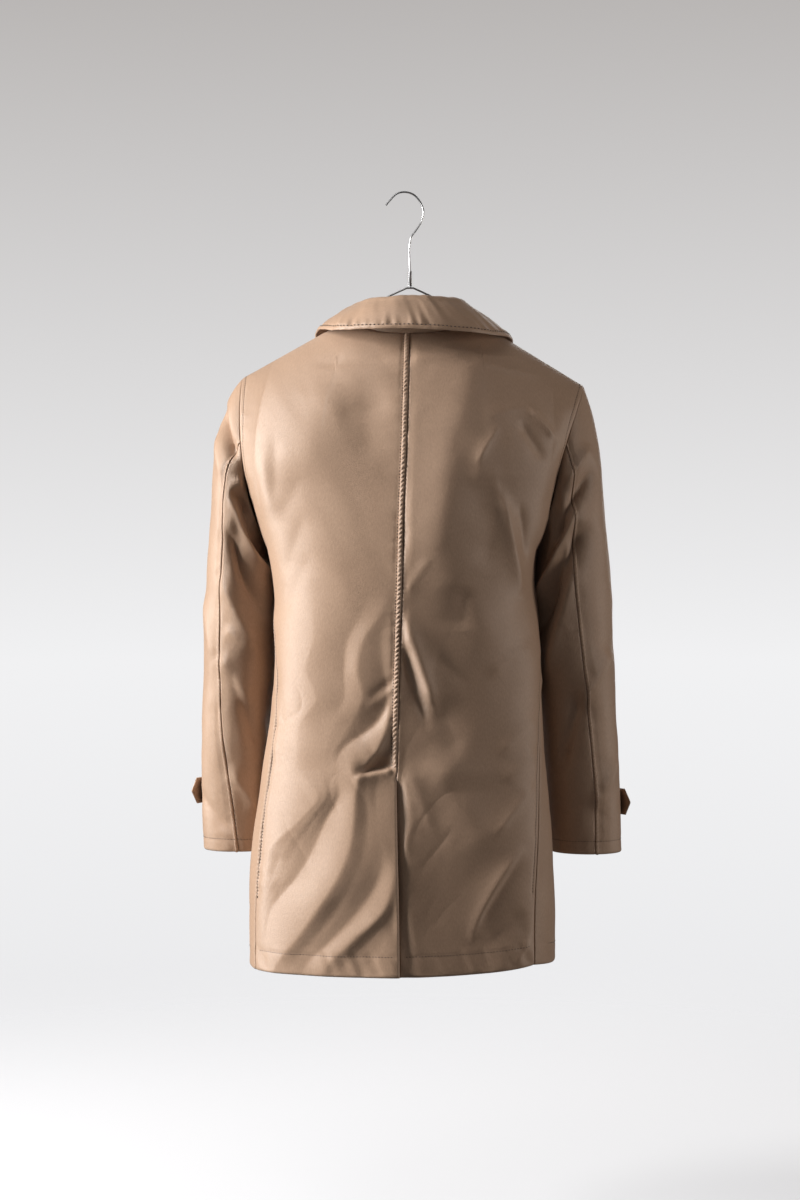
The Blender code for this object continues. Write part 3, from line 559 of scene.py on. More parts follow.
@dataclass(frozen=True)
class CoatShape:
    """The form that all the panels share: sections of the body, seams, shoulders and neckline."""

    coat_x: float = 0.0076
    hem_z: float = -1.058
    hem_lift_right: float = 0.010
    vent_top_z: float = -0.785
    underarm_z: float = -0.493
    yoke_z: float = -0.400
    fullness: float = 2.3
    levels: tuple[Level, ...] = (
        Level(-1.058, -0.014, -0.2190, 0.1970, -0.035, -0.155, 0.148),
        Level(-0.970, -0.015, -0.2185, 0.1965, -0.035, -0.152, 0.144),
        Level(-0.880, -0.017, -0.2130, 0.1930, -0.035, -0.148, 0.140),
        Level(-0.790, -0.018, -0.2005, 0.1860, -0.035, -0.143, 0.136),
        Level(-0.700, -0.016, -0.1890, 0.1785, -0.035, -0.140, 0.133),
        Level(-0.600, -0.013, -0.1850, 0.1695, -0.035, -0.140, 0.132),
        Level(-0.530, -0.011, -0.1910, 0.1685, -0.035, -0.142, 0.134),
        Level(-0.493, -0.010, -0.1990, 0.1745, -0.036, -0.142, 0.134),
        Level(-0.450, -0.009, -0.2090, 0.1860, -0.038, -0.140, 0.131),
        Level(-0.400, -0.007, -0.2240, 0.1990, -0.040, -0.134, 0.122),
    )
    side_seam: tuple[Turn, ...] = (
        Turn(-1.058, 70.0, 56.0),
        Turn(-0.970, 70.0, 57.0),
        Turn(-0.880, 69.0, 62.0),
        Turn(-0.790, 69.0, 69.0),
        Turn(-0.700, 71.0, 80.0),
        Turn(-0.650, 76.0, 88.0),
        Turn(-0.600, 87.0, 96.0),
        Turn(-0.530, 104.0, 106.0),
        Turn(-0.493, 111.0, 111.0),
    )
    armhole_back: tuple[Turn, ...] = (
        Turn(-0.493, 111.0, 111.0),
        Turn(-0.480, 101.0, 101.0),
        Turn(-0.455, 91.0, 91.0),
        Turn(-0.425, 85.0, 86.0),
        Turn(-0.400, 82.0, 84.0),
    )
    armhole_front: tuple[Turn, ...] = (
        Turn(-0.493, 111.0, 111.0),
        Turn(-0.480, 120.0, 120.0),
        Turn(-0.455, 128.0, 128.0),
        Turn(-0.425, 133.0, 133.0),
        Turn(-0.400, 135.0, 135.0),
    )
    shoulder_left: ShoulderLine = ShoulderLine(-0.084, -0.1735, -0.231, -0.256)
    shoulder_right: ShoulderLine = ShoulderLine(0.088, -0.174, 0.239, -0.2665)
    ridge_z: float = -0.147
    neck_share_back: float = 0.35
    neck_share_front: float = 0.44
    neck_deep_back: float = 0.39
    neck_deep_front: float = 0.575
    front_overlap_turn: float = 6.5
    front_middle_share: float = 0.126
    overlap_drop: float = 0.05
    shoulder_roll: float = 0.110
    shoulder_rise: float = 0.020
    yoke_full: float = 1.15
    neck_full: float = 0.35
    neck_reach: float = 1.6
    slope_step: float = 0.008

    def shoulder(self, side: Side) -> ShoulderLine:
        """The shoulder seam of a side."""
        return self.shoulder_left if side == Side.LEFT else self.shoulder_right

    def neck_share(self, part: Part) -> float:
        """Where the neckline ends across a panel."""
        return self.neck_share_back if part == Part.BACK else self.neck_share_front

    def neck_deep(self, part: Part) -> float:
        """How far the neckline cuts into a panel's top."""
        return self.neck_deep_back if part == Part.BACK else self.neck_deep_front

    def middle_x(self, z: Array) -> Array:
        """The middle of the body at a height."""
        return column(self.levels, "middle_x", z)

    def ring(self, side: Side, turn: Array, z: Array) -> Array:
        """Points of the body's level section.

        Args:
            side: Which side of the coat.
            turn: Degrees round from the middle of the back.
            z: The height.

        Returns:
            The points.
        """
        sine = np.sin(np.radians(turn))
        cosine = np.cos(np.radians(turn))
        middle = self.middle_x(z)
        edge = column(self.levels, side.word + "_x", z)
        widest = column(self.levels, "widest_y", z)
        depth = np.where(cosine >= 0.0, column(self.levels, "back_y", z), column(self.levels, "front_y", z))
        power = 2.0 / self.fullness
        x = middle + (edge - middle) * np.sign(sine) * np.abs(sine) ** power
        y = widest + (depth - widest) * np.abs(cosine) ** power
        return np.stack([x, y, z + 0.0 * x], -1)

    def below_yoke(self, side: Side, part: Part, across: Array, z: Array) -> Array:
        """Points of a panel below the yoke level, from its middle edge (0) to its outer edge (1)."""
        start = 0.0 if part == Part.BACK else 180.0 + self.front_overlap_turn
        hole = self.armhole_back if part == Part.BACK else self.armhole_front
        seam = column(self.side_seam, side.word, z)
        outer = np.where(z < self.underarm_z, seam, column(hole, side.word, z))
        return self.ring(side, start + (outer - start) * across, z)

    def first_share(self, part: Part) -> float:
        """Where the middle of the coat lies across a panel; a front runs a little past it."""
        return 0.0 if part == Part.BACK else self.front_middle_share

    def ridge(self, side: Side, part: Part, across: Array) -> Array:
        """The shoulder seam, run on across the neck hole to the middle of the coat."""
        s = self.shoulder(side)
        first = self.first_share(part)
        b = (across - first) / (1.0 - first)
        at_neck = (self.neck_share(part) - first) / (1.0 - first)
        bow = (s.neck_x / s.point_x - at_neck) / (at_neck * (1.0 - at_neck))
        x = s.point_x * (b + bow * b * (1.0 - b))
        beyond = np.clip((x - s.neck_x) / (s.point_x - s.neck_x), 0.0, 1.0)
        inside = np.clip(x / s.neck_x, -1.0, 1.0)
        z = self.ridge_z + (s.neck_z - self.ridge_z) * inside ** 2 + (s.point_z - s.neck_z) * beyond
        return np.stack([x, 0.0 * x, z], -1)

    def top_share(self, part: Part, across: Array) -> Array:
        """How far up the yoke a column of cloth runs, where the neckline cuts it."""
        first = self.first_share(part)
        share = np.clip((across - first) / (self.neck_share(part) - first), 0.0, 1.0)
        past = np.clip((first - across) / max(first, 1e-6), 0.0, 1.0)
        return 1.0 - self.neck_deep(part) * np.sqrt(1.0 - share ** 2) - self.overlap_drop * past

    def body_point(self, side: Side, part: Part, across: Array, up: Array) -> Array:
        """Points of a body panel.

        Args:
            side: Which side of the coat.
            part: The back or the front.
            across: From the middle edge (0) to the outer edge (1).
            up: From the hem (0) to the underarm (1), the yoke (2) and the top (3).

        Returns:
            The points, with the coat's middle at X 0.
        """
        across, up = np.broadcast_arrays(np.asarray(across, float), np.asarray(up, float))
        lift = self.hem_lift_right if side == Side.RIGHT else 0.0
        hem = self.hem_z + lift * across ** 2
        z = np.where(
            up < 1.0,
            hem + (self.underarm_z - hem) * up,
            self.underarm_z + (self.yoke_z - self.underarm_z) * np.clip(up - 1.0, 0.0, 1.0),
        )
        low = self.below_yoke(side, part, across, z)
        start = self.below_yoke(side, part, across, np.full(across.shape, self.yoke_z))
        under = self.below_yoke(side, part, across, np.full(across.shape, self.yoke_z - self.slope_step))
        end = self.ridge(side, part, across)
        inward = 1.0 if part == Part.BACK else -1.0
        arrive = np.array([0.0, inward * self.shoulder_roll, self.shoulder_rise])
        near = ease(1.0 - across / self.neck_share(part) / self.neck_reach)
        full = self.yoke_full + self.neck_full * near
        leave = (start - under) / self.slope_step * (end[..., 2:] - self.yoke_z) * full[..., None]
        t = np.clip(up - 2.0, 0.0, 1.0) * self.top_share(part, across)
        return np.where(up[..., None] <= 2.0, low, hermite(start, leave, end, arrive, t[..., None]))

    def armhole_point(self, side: Side, share: Array) -> Array:
        """The armhole: 0 is the shoulder point, 1 the underarm, 2 the shoulder point by the front."""
        one = np.ones_like(share)
        back = self.body_point(side, Part.BACK, one, 3.0 - 2.0 * np.clip(share, 0.0, 1.0))
        front = self.body_point(side, Part.FRONT, one, 1.0 + 2.0 * np.clip(share - 1.0, 0.0, 1.0))
        return np.where((share <= 1.0)[..., None], back, front)

    def grid(self, points: Array, away_from: Array) -> ClothGrid:
        """A grid of cloth that faces away from what lies inside, in its place beside the hook."""
        out = ClothGrid.facing(points, away_from).out
        return ClothGrid(points + np.array([self.coat_x, 0.0, 0.0]), out)


class Kit:
    """Adds nodes to one material or world and joins them."""

    def __init__(self, owner: bpy.types.ID, last: str = "Principled BSDF") -> None:
        """Opens the nodes of a new material or world, which end in the named one."""
        owner.use_nodes = True
        self.owner = owner
        self.tree = owner.node_tree
        self.shader = self.tree.nodes[last]

    @classmethod
    def named(cls, name: str) -> "Kit":
        """A kit for a new Principled material."""
        return cls(bpy.data.materials.new(name))

    def fix(self, **values: object) -> None:
        """Sets inputs of the shader, with _ for a space."""
        for key, value in values.items():
            self.shader.inputs[key.replace("_", " ")].default_value = value

    def add(self, kind: str, **values: object) -> bpy.types.Node:
        """A node with its settings, or its inputs by name.

        Args:
            kind: The node's type, without ShaderNode.
            values: Settings of the node, or values of its inputs with _ for a space.

        Returns:
            The node.
        """
        node = self.tree.nodes.new("ShaderNode" + kind)
        for key, value in values.items():
            if hasattr(node, key):
                setattr(node, key, value)
            else:
                node.inputs[key.replace("_", " ")].default_value = value
        return node

    def join(self, start: Socket, end: Socket) -> None:
        """Joins two sockets."""
        self.tree.links.new(start, end)

    def feed(self, start: Socket, name: str) -> None:
        """Joins a socket to an input of the shader."""
        self.join(start, self.shader.inputs[name])

    def where(self) -> Socket:
        """The place of a point on its object."""
        return self.add("TexCoord").outputs["Object"]

    def mapped(self, vector: Socket, scale: tuple[float, float, float], turn: float = 0.0) -> Socket:
        """Places that are stretched, and turned by degrees about Z."""
        node = self.add("Mapping")
        node.inputs["Rotation"].default_value = (0.0, 0.0, math.radians(turn))
        node.inputs["Scale"].default_value = scale
        self.join(vector, node.inputs["Vector"])
        return node.outputs["Vector"]

    def noise(self, vector: Socket, **values: float) -> Socket:
        """A noise from 0 to 1 over given places."""
        node = self.add("TexNoise", **values)
        self.join(vector, node.inputs["Vector"])
        return node.outputs["Fac"]

    def times(self, value: Socket, **values: object) -> bpy.types.Node:
        """A node that multiplies a value."""
        node = self.add("Math", **{"operation": "MULTIPLY", **values})
        self.join(value, node.inputs[0])
        return node

    def ranged(self, value: Socket, **values: object) -> Socket:
        """A value carried over to another range."""
        node = self.add("MapRange", **values)
        self.join(value, node.inputs["Value"])
        return node.outputs["Result"]

    def mixed(self, share: Socket, low: tuple, high: tuple) -> Socket:
        """A colour between two, by a share from another node."""
        ramp = self.add("ValToRGB")
        ramp.color_ramp.elements[0].color = low
        ramp.color_ramp.elements[1].color = high
        self.join(share, ramp.inputs["Fac"])
        return ramp.outputs["Color"]

    def blended(self, share: Socket, base: Socket, colour: tuple) -> Socket:
        """A colour that goes over to a plain one, by a share from another node."""
        node = self.add("Mix", data_type="RGBA")
        node.inputs["B"].default_value = colour
        self.join(share, node.inputs["Factor"])
        self.join(base, node.inputs["A"])
        return node.outputs["Result"]

    def bump(self, height: Socket, strength: float, distance: float) -> None:
        """Lets a height roughen the shader's surface."""
        node = self.add("Bump", Strength=strength, Distance=distance)
        self.join(height, node.inputs["Height"])
        self.feed(node.outputs["Normal"], "Normal")


@dataclass(frozen=True)
class ClothFinish:
    """A tan twill with a satin face."""

    name: str = "tan_satin_cloth"
    low: tuple = (0.350, 0.222, 0.145, 1.0)
    high: tuple = (0.418, 0.272, 0.182, 1.0)
    rubbed: tuple = (0.52, 0.36, 0.25, 1.0)
    # Painted shade: the dark brown that the seam rolls' deep notches go over to.
    pinched: tuple = (0.10, 0.060, 0.038, 1.0)
    grain_low: tuple = (0.76, 0.75, 0.74, 1.0)
    grain_high: tuple = (1.24, 1.25, 1.26, 1.0)
    grain_turn: float = 24.0
    grain_scale: tuple[float, float, float] = (560.0, 190.0, 1.0)
    roughness: tuple[float, float] = (0.44, 0.52)
    sheen: float = 0.16
    sheen_rough: float = 0.45
    sheen_tint: tuple = (1.0, 0.98, 0.96, 1.0)
    specular: float = 0.64
    thread_pitch: float = 0.00055
    twill_turn: float = 63.0
    twill_scale: float = 0.314
    slub_share: float = 3.2
    weave_bump: float = 0.35
    weave_deep: float = 0.00025

    def build(self) -> Material:
        """The cloth's material: cloudy colour, rubbed edges, painted shade in the seam rolls' notches, fine
        twill and small slubs.
        """
        kit = Kit.named(self.name)
        kit.fix(Sheen_Weight=self.sheen, Sheen_Roughness=self.sheen_rough, Sheen_Tint=self.sheen_tint,
                Specular_IOR_Level=self.specular)
        where = kit.where()
        flat = kit.add("UVMap", uv_map="cloth").outputs["UV"]
        clouds = kit.noise(where, Scale=7.0, Detail=4.0, Roughness=0.55)
        base = kit.mixed(clouds, self.low, self.high)
        worn = kit.add("Attribute", attribute_name="wear").outputs["Fac"]
        patchy = kit.times(worn)
        kit.join(kit.noise(where, Scale=420.0, Detail=2.0, Roughness=0.6), patchy.inputs[1])
        base = kit.blended(patchy.outputs["Value"], base, self.rubbed)
        # Painted shade: below 0 the attribute darkens the colour towards the shade brown, in the seam
        # rolls' notches.
        under = kit.times(worn, use_clamp=True)
        under.inputs[1].default_value = -1.0
        base = kit.blended(under.outputs["Value"], base, self.pinched)
        grain = kit.noise(kit.mapped(flat, self.grain_scale, self.grain_turn), Scale=1.0, Detail=2.0,
                          Roughness=0.7)
        woven = kit.add("Mix", data_type="RGBA", blend_type="MULTIPLY")
        woven.inputs["Factor"].default_value = 1.0
        kit.join(base, woven.inputs["A"])
        kit.join(kit.mixed(grain, self.grain_low, self.grain_high), woven.inputs["B"])
        kit.feed(woven.outputs["Result"], "Base Color")
        kit.feed(kit.ranged(clouds, To_Min=self.roughness[0], To_Max=self.roughness[1]), "Roughness")
        threads = 1.0 / self.thread_pitch
        twill = kit.add("TexWave", wave_type="BANDS", bands_direction="X", Scale=self.twill_scale,
                        Distortion=0.6, Detail=1.0)
        kit.join(kit.mapped(flat, (threads, threads, 1.0), self.twill_turn), twill.inputs["Vector"])
        slub = kit.noise(where, Scale=330.0, Detail=2.0, Roughness=0.6)
        both = kit.times(slub, operation="MULTIPLY_ADD")
        both.inputs[1].default_value = self.slub_share
        kit.join(twill.outputs["Fac"], both.inputs[2])
        kit.bump(both.outputs["Value"], self.weave_bump, self.weave_deep)
        return kit.owner


@dataclass(frozen=True)
class ThreadFinish:
    """Twisted sewing thread, darker than the cloth: partly the thread's own colour and partly painted shade
    for the needle holes along each row.
    """

    name: str = "tan_sewing_thread"
    # Dark brown, partly painted shade for the needle holes.
    low: tuple = (0.055, 0.034, 0.022, 1.0)
    high: tuple = (0.11, 0.070, 0.046, 1.0)

    def build(self) -> Material:
        """The thread's material: fine twisted strands with a soft gloss."""
        kit = Kit.named(self.name)
        kit.fix(Roughness=0.45, Sheen_Weight=0.15)
        strands = kit.noise(kit.where(), Scale=1400.0, Detail=1.0)
        kit.feed(kit.mixed(strands, self.low, self.high), "Base Color")
        kit.bump(strands, 0.3, 0.0001)
        return kit.owner


@dataclass(frozen=True)
class HornFinish:
    """Dark polished horn with pale streaks."""

    name: str = "dark_horn"
    low: tuple = (0.022, 0.012, 0.008, 1.0)
    high: tuple = (0.13, 0.07, 0.04, 1.0)
    streak: tuple[float, float, float] = (260.0, 260.0, 60.0)

    def build(self) -> Material:
        """The buttons' material."""
        kit = Kit.named(self.name)
        kit.fix(Specular_IOR_Level=0.5)
        streaks = kit.noise(kit.mapped(kit.where(), self.streak), Scale=1.0, Detail=4.0, Distortion=0.8)
        kit.feed(kit.mixed(streaks, self.low, self.high), "Base Color")
        kit.feed(kit.ranged(streaks, To_Min=0.18, To_Max=0.34), "Roughness")
        return kit.owner


@dataclass(frozen=True)
class WireFinish:
    """Bright drawn steel wire, a little scuffed."""

    name: str = "bright_wire"
    low: tuple = (0.36, 0.36, 0.37, 1.0)
    high: tuple = (0.66, 0.66, 0.67, 1.0)

    def build(self) -> Material:
        """The hanger's material."""
        kit = Kit.named(self.name)
        kit.fix(Metallic=1.0)
        scuffs = kit.noise(kit.where(), Scale=240.0, Detail=5.0, Roughness=0.65)
        kit.feed(kit.mixed(scuffs, self.low, self.high), "Base Color")
        kit.feed(kit.ranged(scuffs, To_Min=0.20, To_Max=0.42), "Roughness")
        kit.bump(scuffs, 0.15, 0.0001)
        return kit.owner


@dataclass
class Finishes:
    """The materials that all pieces share."""

    cloth: Material
    thread: Material
    horn: Material
    wire: Material

    @classmethod
    def made(cls) -> "Finishes":
        """Builds every finish once."""
        kinds = (ClothFinish, ThreadFinish, HornFinish, WireFinish)
        return cls(*(kind().build() for kind in kinds))


@dataclass(frozen=True)
class Stitching:
    """Rows of machine stitches."""

    pitch: float = 0.0042
    long: float = 0.0023
    radius: float = 0.00055
    proud: float = 0.0002
    squashed: float = 0.8

    def row(self, points: Array, out: Array) -> Array:
        """Where the stitches of one row lie.

        Args:
            points: The line they follow.
            out: The cloth's normals along it.

        Returns:
            For each stitch its three half axes and its middle, as rows of four.
        """
        gone = lengths(points)
        at = np.arange(self.pitch / 2.0, gone[-1], self.pitch)
        place = walked(points, gone, at)
        away = unit(walked(out, gone, at))
        along = walked(points, gone, at + self.pitch / 2.0) - place
        along = unit(along - away * (along * away).sum(1, keepdims=True))
        beside = np.cross(away, along)
        sizes = (beside * self.radius, away * self.radius * self.squashed, along * self.long / 2.0)
        return np.stack([*sizes, place + away * self.proud], 1)

    def sew(self, name: str, rows: list[tuple[Array, Array]], material: Material) -> Piece:
        """All the stitches of one piece of cloth.

        Args:
            name: The piece's name.
            rows: Pairs of a line and its normals.
            material: The thread's finish.

        Returns:
            The stitches as one piece.
        """
        bm = bmesh.new()
        bmesh.ops.create_uvsphere(bm, u_segments=7, v_segments=5, radius=1.0)
        corners = np.array([tuple(v.co) for v in bm.verts])
        faces = [[v.index for v in f.verts] for f in bm.faces]
        bm.free()
        places = np.concatenate([self.row(points, out) for points, out in rows])
        points = np.einsum("vk,skc->svc", corners, places[:, :3]) + places[:, 3:]
        mesh = bpy.data.meshes.new(name)
        every = [[i * len(corners) + k for k in face] for i in range(len(places)) for face in faces]
        mesh.from_pydata(points.reshape(-1, 3).tolist(), [], every)
        return linked(name, mesh, material)


def made_object(name: str, bm: bmesh.types.BMesh, material: Material) -> Piece:
    """Turns a bmesh into a smooth object at the origin.

    Args:
        name: The piece's name.
        bm: Its mesh, used up here.
        material: Its finish.

    Returns:
        The piece.
    """
    mesh = bpy.data.meshes.new(name)
    bm.to_mesh(mesh)
    bm.free()
    return linked(name, mesh, material)


def carried(piece: Piece, slot: str, *nodes: str) -> Piece:
    """Lets a piece ride with the coat and stand for its solids.

    Args:
        piece: The piece.
        slot: Not used.
        nodes: The solids that it stands for.

    Returns:
        The piece.
    """
    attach(piece, "root")
    if nodes:
        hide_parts(*nodes)
    LOG.info("%s: %d faces", piece.name, len(piece.data.polygons))
    return piece


def sewn_cloth(
    node: str, grid: ClothGrid, wall: float, wear: Array, rows: list[tuple[Array, Array]],
    finishes: Finishes, thread: Stitching = Stitching(),
) -> list[Piece]:
    """A cloth piece that stands for its solid, and the stitches on it.

    Args:
        node: The solid's name.
        grid: The finished grid.
        wall: How thick the cloth is.
        wear: How rubbed each point is, or below 0 how much painted shade darkens it.
        rows: Where the stitches run.
        finishes: The materials.
        thread: The kind of stitches.

    Returns:
        The cloth and the stitches.
    """
    piece = carried(grid.object(node + "_cloth", wall, finishes.cloth, wear), "cloth", node)
    return [piece, carried(thread.sew(node + "_stitches", rows, finishes.thread), "cloth")]


@dataclass(frozen=True)
class SeamRoll:
    """A turned seam edge that stands proud of the cloth, with the slanted puckers of its sewing and painted
    shade in the notches between them.
    """

    wide: float
    high: float
    ribs: float
    pitch: float = 0.0062
    slant: float = 0.80
    step: float = 0.0009
    sink: float = 0.0009
    wall: float = 0.0008
    # How much painted shade darkens the notches between the puckers.
    pinch: float = 1.05
    worn: float = 0.45
    gap: float = 0.0003
    columns: int = 9
    round_off: float = 0.36
    seed: int = 0

    def along(self, name: str, grid: ClothGrid, edge: Edge, keep: Array, finishes: Finishes) -> Piece:
        """Makes the roll beside an edge of a panel.

        Args:
            name: The piece's name.
            grid: The panel's finished grid.
            edge: The edge that the roll lies along.
            keep: Which rows of the panel it runs over.
            finishes: The materials.

        Returns:
            The roll.
        """
        share = np.linspace(0.0, 1.0, self.columns)
        lines = [grid.line(edge, self.gap + self.wide * s) for s in share]
        base = np.stack([line[keep] for line, _ in lines], axis=1)
        out = np.stack([normal[keep] for _, normal in lines], axis=1)
        gone = lengths(base[:, self.columns // 2])
        at = np.linspace(0.0, gone[-1], int(gone[-1] / self.step))
        low = np.clip(np.searchsorted(gone, at) - 1, 0, len(gone) - 2)
        part = ((at - gone[low]) / (gone[low + 1] - gone[low]))[:, None, None]
        base = base[low] * (1.0 - part) + base[low + 1] * part
        out = out[low] * (1.0 - part) + out[low + 1] * part
        place = at[:, None] + 0.0 * share
        still = 0.0 * place
        crown = np.clip(1.0 - (2.0 * share - 1.0) ** 2, 0.0, 1.0) ** self.round_off
        wave = 2.0 * math.pi * (place + self.slant * self.wide * share) / self.pitch
        wave = wave + 1.2 * bumps(place, still, 0.017, self.seed)
        deep = 0.75 + 0.35 * bumps(place, still, 0.009, self.seed + 1)
        rise = (self.high + 0.25 * self.high * bumps(place, still, 0.023, self.seed + 2)) * crown
        notch = (0.5 + 0.5 * np.cos(wave)) * crown
        rise -= self.ribs * deep * notch
        rise -= self.sink * (1.0 - crown)
        points = base + out * rise[..., None]
        roll = ClothGrid.facing(points, points - out)
        # The crown is paled as rubbed; the notches between the puckers get painted shade, darkest where
        # they sink deepest.
        wear = self.worn * crown - self.pinch * notch ** 1.5
        return carried(roll.object(name, self.wall, finishes.cloth, wear), "cloth")


class Roll(NamedTuple):
    """An edge that rolls away over its last few millimetres."""

    deep: float
    wide: float

    def height(self, distance: Array) -> Array:
        """How far the cloth sinks, by the distance from the edge."""
        return -self.deep * np.clip(1.0 - distance / self.wide, 0.0, 1.0) ** 2


class Furrow(NamedTuple):
    """The furrow that a row of stitches presses into the cloth."""

    deep: float
    wide: float

    def height(self, off: Array) -> Array:
        """How far the cloth sinks, by the distance from the row."""
        return -self.deep * np.exp(-(off / self.wide) ** 2)


class Pucker(NamedTuple):
    """Uneven puckers that a row of stitches draws up and that die away from it."""

    high: float
    pitch: float
    reach: float = 1.0

    def height(self, along: Array, away: Array, seed: int) -> Array:
        """How far the puckers raise the cloth.

        Args:
            along: Distance along the row.
            away: Distance from it.
            seed: Which pattern of puckers.

        Returns:
            The height at each place.
        """
        fine = bumps(along + 0.25 * away, away * 0.2, self.pitch, seed)
        broad = bumps(along - 0.20 * away, away * 0.2, self.pitch * 2.7, seed + 1)
        return self.high * (0.65 * fine + 0.5 * broad) * np.exp(-away / self.reach)


class Ripple(NamedTuple):
    """The soft unevenness of hanging cloth, drawn out and leaning along one way."""

    high: float
    cell: float
    drawn: float = 1.0
    lean: float = 0.0

    def height(self, across: Array, down: Array, seed: int) -> Array:
        """How far the unevenness raises the cloth, at distances across it and along the drawn-out way."""
        return self.high * bumps(across + self.lean * down, down * self.drawn, self.cell, seed)


BACK_LEFT_DRAPE = (
    Swell(-0.550, (-183, -132, -54, -28, -24, -22, -21, -20, -19, -17, -15),
          (0, 0, 0, 0, 0, 0, 0, 0, 0, 0, 0)),
    Swell(-0.580, (-186, -131, -66, -40, -29, -25, -23, -20, -19, -17, -15),
          (0, 1, -0.7, 0.9, 0.2, 0.1, 0, 0, 0, 0, 0)),
    Swell(-0.614, (-188, -130, -84, -62, -38, -27, -23, -20, -19, -17, -15),
          (0, 2, -1.2, 1.6, -0.2, 0.2, 0.1, 0, 0, 0, 0)),
    Swell(-0.654, (-190, -139, -89, -70, -36, -26, -23, -20, -19, -17, -15),
          (0, 2.8, -1.2, 2.2, -0.8, 0, 0, 0, 0, 0, 0)),
    Swell(-0.694, (-193, -125, -89, -64, -31, -24, -22, -20, -18, -16, -15),
          (0, 3.5, 0.5, 2.2, -2.6, -0.8, -0.5, -0.2, 0, 0, 0)),
    Swell(-0.726, (-194, -146, -106, -80, -48, -31, -26, -22, -19, -17, -15),
          (0, 2.8, 1.5, 0.4, -3.8, 1, 0, -0.5, -0.3, 0, 0)),
    Swell(-0.759, (-196, -150, -112, -100, -90, -43, -35, -27, -22, -18, -15),
          (0, 2.6, 2.4, 1.9, 0.6, 5, 1, -1.5, -1.5, -1, -1)),
    Swell(-0.788, (-197, -150, -125, -110, -98, -65, -55, -40, -30, -22, -15),
          (0, 1.6, 1.4, 1.6, 2.2, 5.6, 1.6, -1, -1.2, -1.4, -1.6)),
    Swell(-0.819, (-198, -122, -112, -104, -95, -72, -57, -45, -32, -24, -15),
          (0, 4, 3.2, 1.8, 0.6, 4.6, 1, -1, -1.6, -1.7, -1.7)),
    Swell(-0.852, (-200, -146, -136, -126, -113, -74, -56, -43, -31, -23, -15),
          (0, 2.8, 2, 0.2, -2, 5, 1.2, 0.2, -0.4, -0.8, -1)),
    Swell(-0.891, (-201, -185, -169, -154, -132, -80, -57, -35, -24, -19, -15),
          (0, 1.4, 0.2, -1.4, -3, 6.2, 3.2, 0.8, 0, 0, 0)),
    Swell(-0.931, (-202, -193, -184, -172, -156, -97, -73, -43, -24, -19, -14),
          (0, 0.6, 0, -1.2, -2.8, 6.6, 3.4, 0.2, 2.6, 2.2, 1.6)),
    Swell(-0.970, (-202, -200, -196, -192, -185, -122, -97, -68, -35, -23, -14),
          (0, 0, -0.2, -0.6, -1.4, 6.2, 1, -1.4, 3.6, 0.4, -0.4)),
    Swell(-1.010, (-204, -202, -201, -198, -194, -150, -126, -105, -76, -55, -14),
          (0, 0, 0, 0, -0.3, 4.6, 0.6, -1.2, 3, -0.8, -1.6)),
    Swell(-1.043, (-204, -202, -201, -200, -197, -176, -155, -139, -109, -86, -14),
          (0, 0, 0, 0, 0, 2, 0.2, -0.6, 1.8, -0.2, -1.2)),
    Swell(-1.072, (-204, -202, -201, -200, -197, -190, -172, -152, -125, -100, -14),
          (0, 0, 0, 0, 0, 0, 0, 0, 0, 0, 0)),
)
BACK_LEFT_FOLDS = (
    Fold(-0.072, -0.791, -0.018, -0.778, 0.0045, 0.014, -0.0056),
    Fold(-0.072, -0.796, -0.018, -0.782, 0.010, 0.004, 0.0030),
    Fold(-0.142, -0.446, -0.172, -0.530, 0.018, 0.024, -0.0016),
    Fold(-0.146, -0.396, -0.182, -0.462, 0.018, 0.020, -0.0010),
    Fold(-0.136, -0.500, -0.178, -0.585, 0.018, 0.020, -0.0012),
    Fold(-0.198, -0.364, -0.190, -0.450, 0.012, 0.012, 0.0010),
    Fold(-0.182, -0.340, -0.184, -0.430, 0.012, 0.014, -0.0010),
    Fold(-0.130, -0.243, -0.019, -0.237, 0.010, 0.010, -0.0012),
    Fold(-0.096, -0.316, -0.028, -0.298, 0.018, 0.020, -0.0012),
    Fold(-0.176, -0.900, -0.186, -0.935, 0.010, 0.010, -0.0008),
    Fold(-0.054, -0.690, -0.018, -0.662, 0.007, 0.006, -0.0011),
    Fold(-0.056, -0.704, -0.018, -0.676, 0.006, 0.007, 0.0010),
    Fold(-0.106, -0.272, -0.146, -0.390, 0.050, 0.045, 0.0024),
    Fold(-0.056, -0.262, -0.058, -0.380, 0.035, 0.030, -0.0018),
)
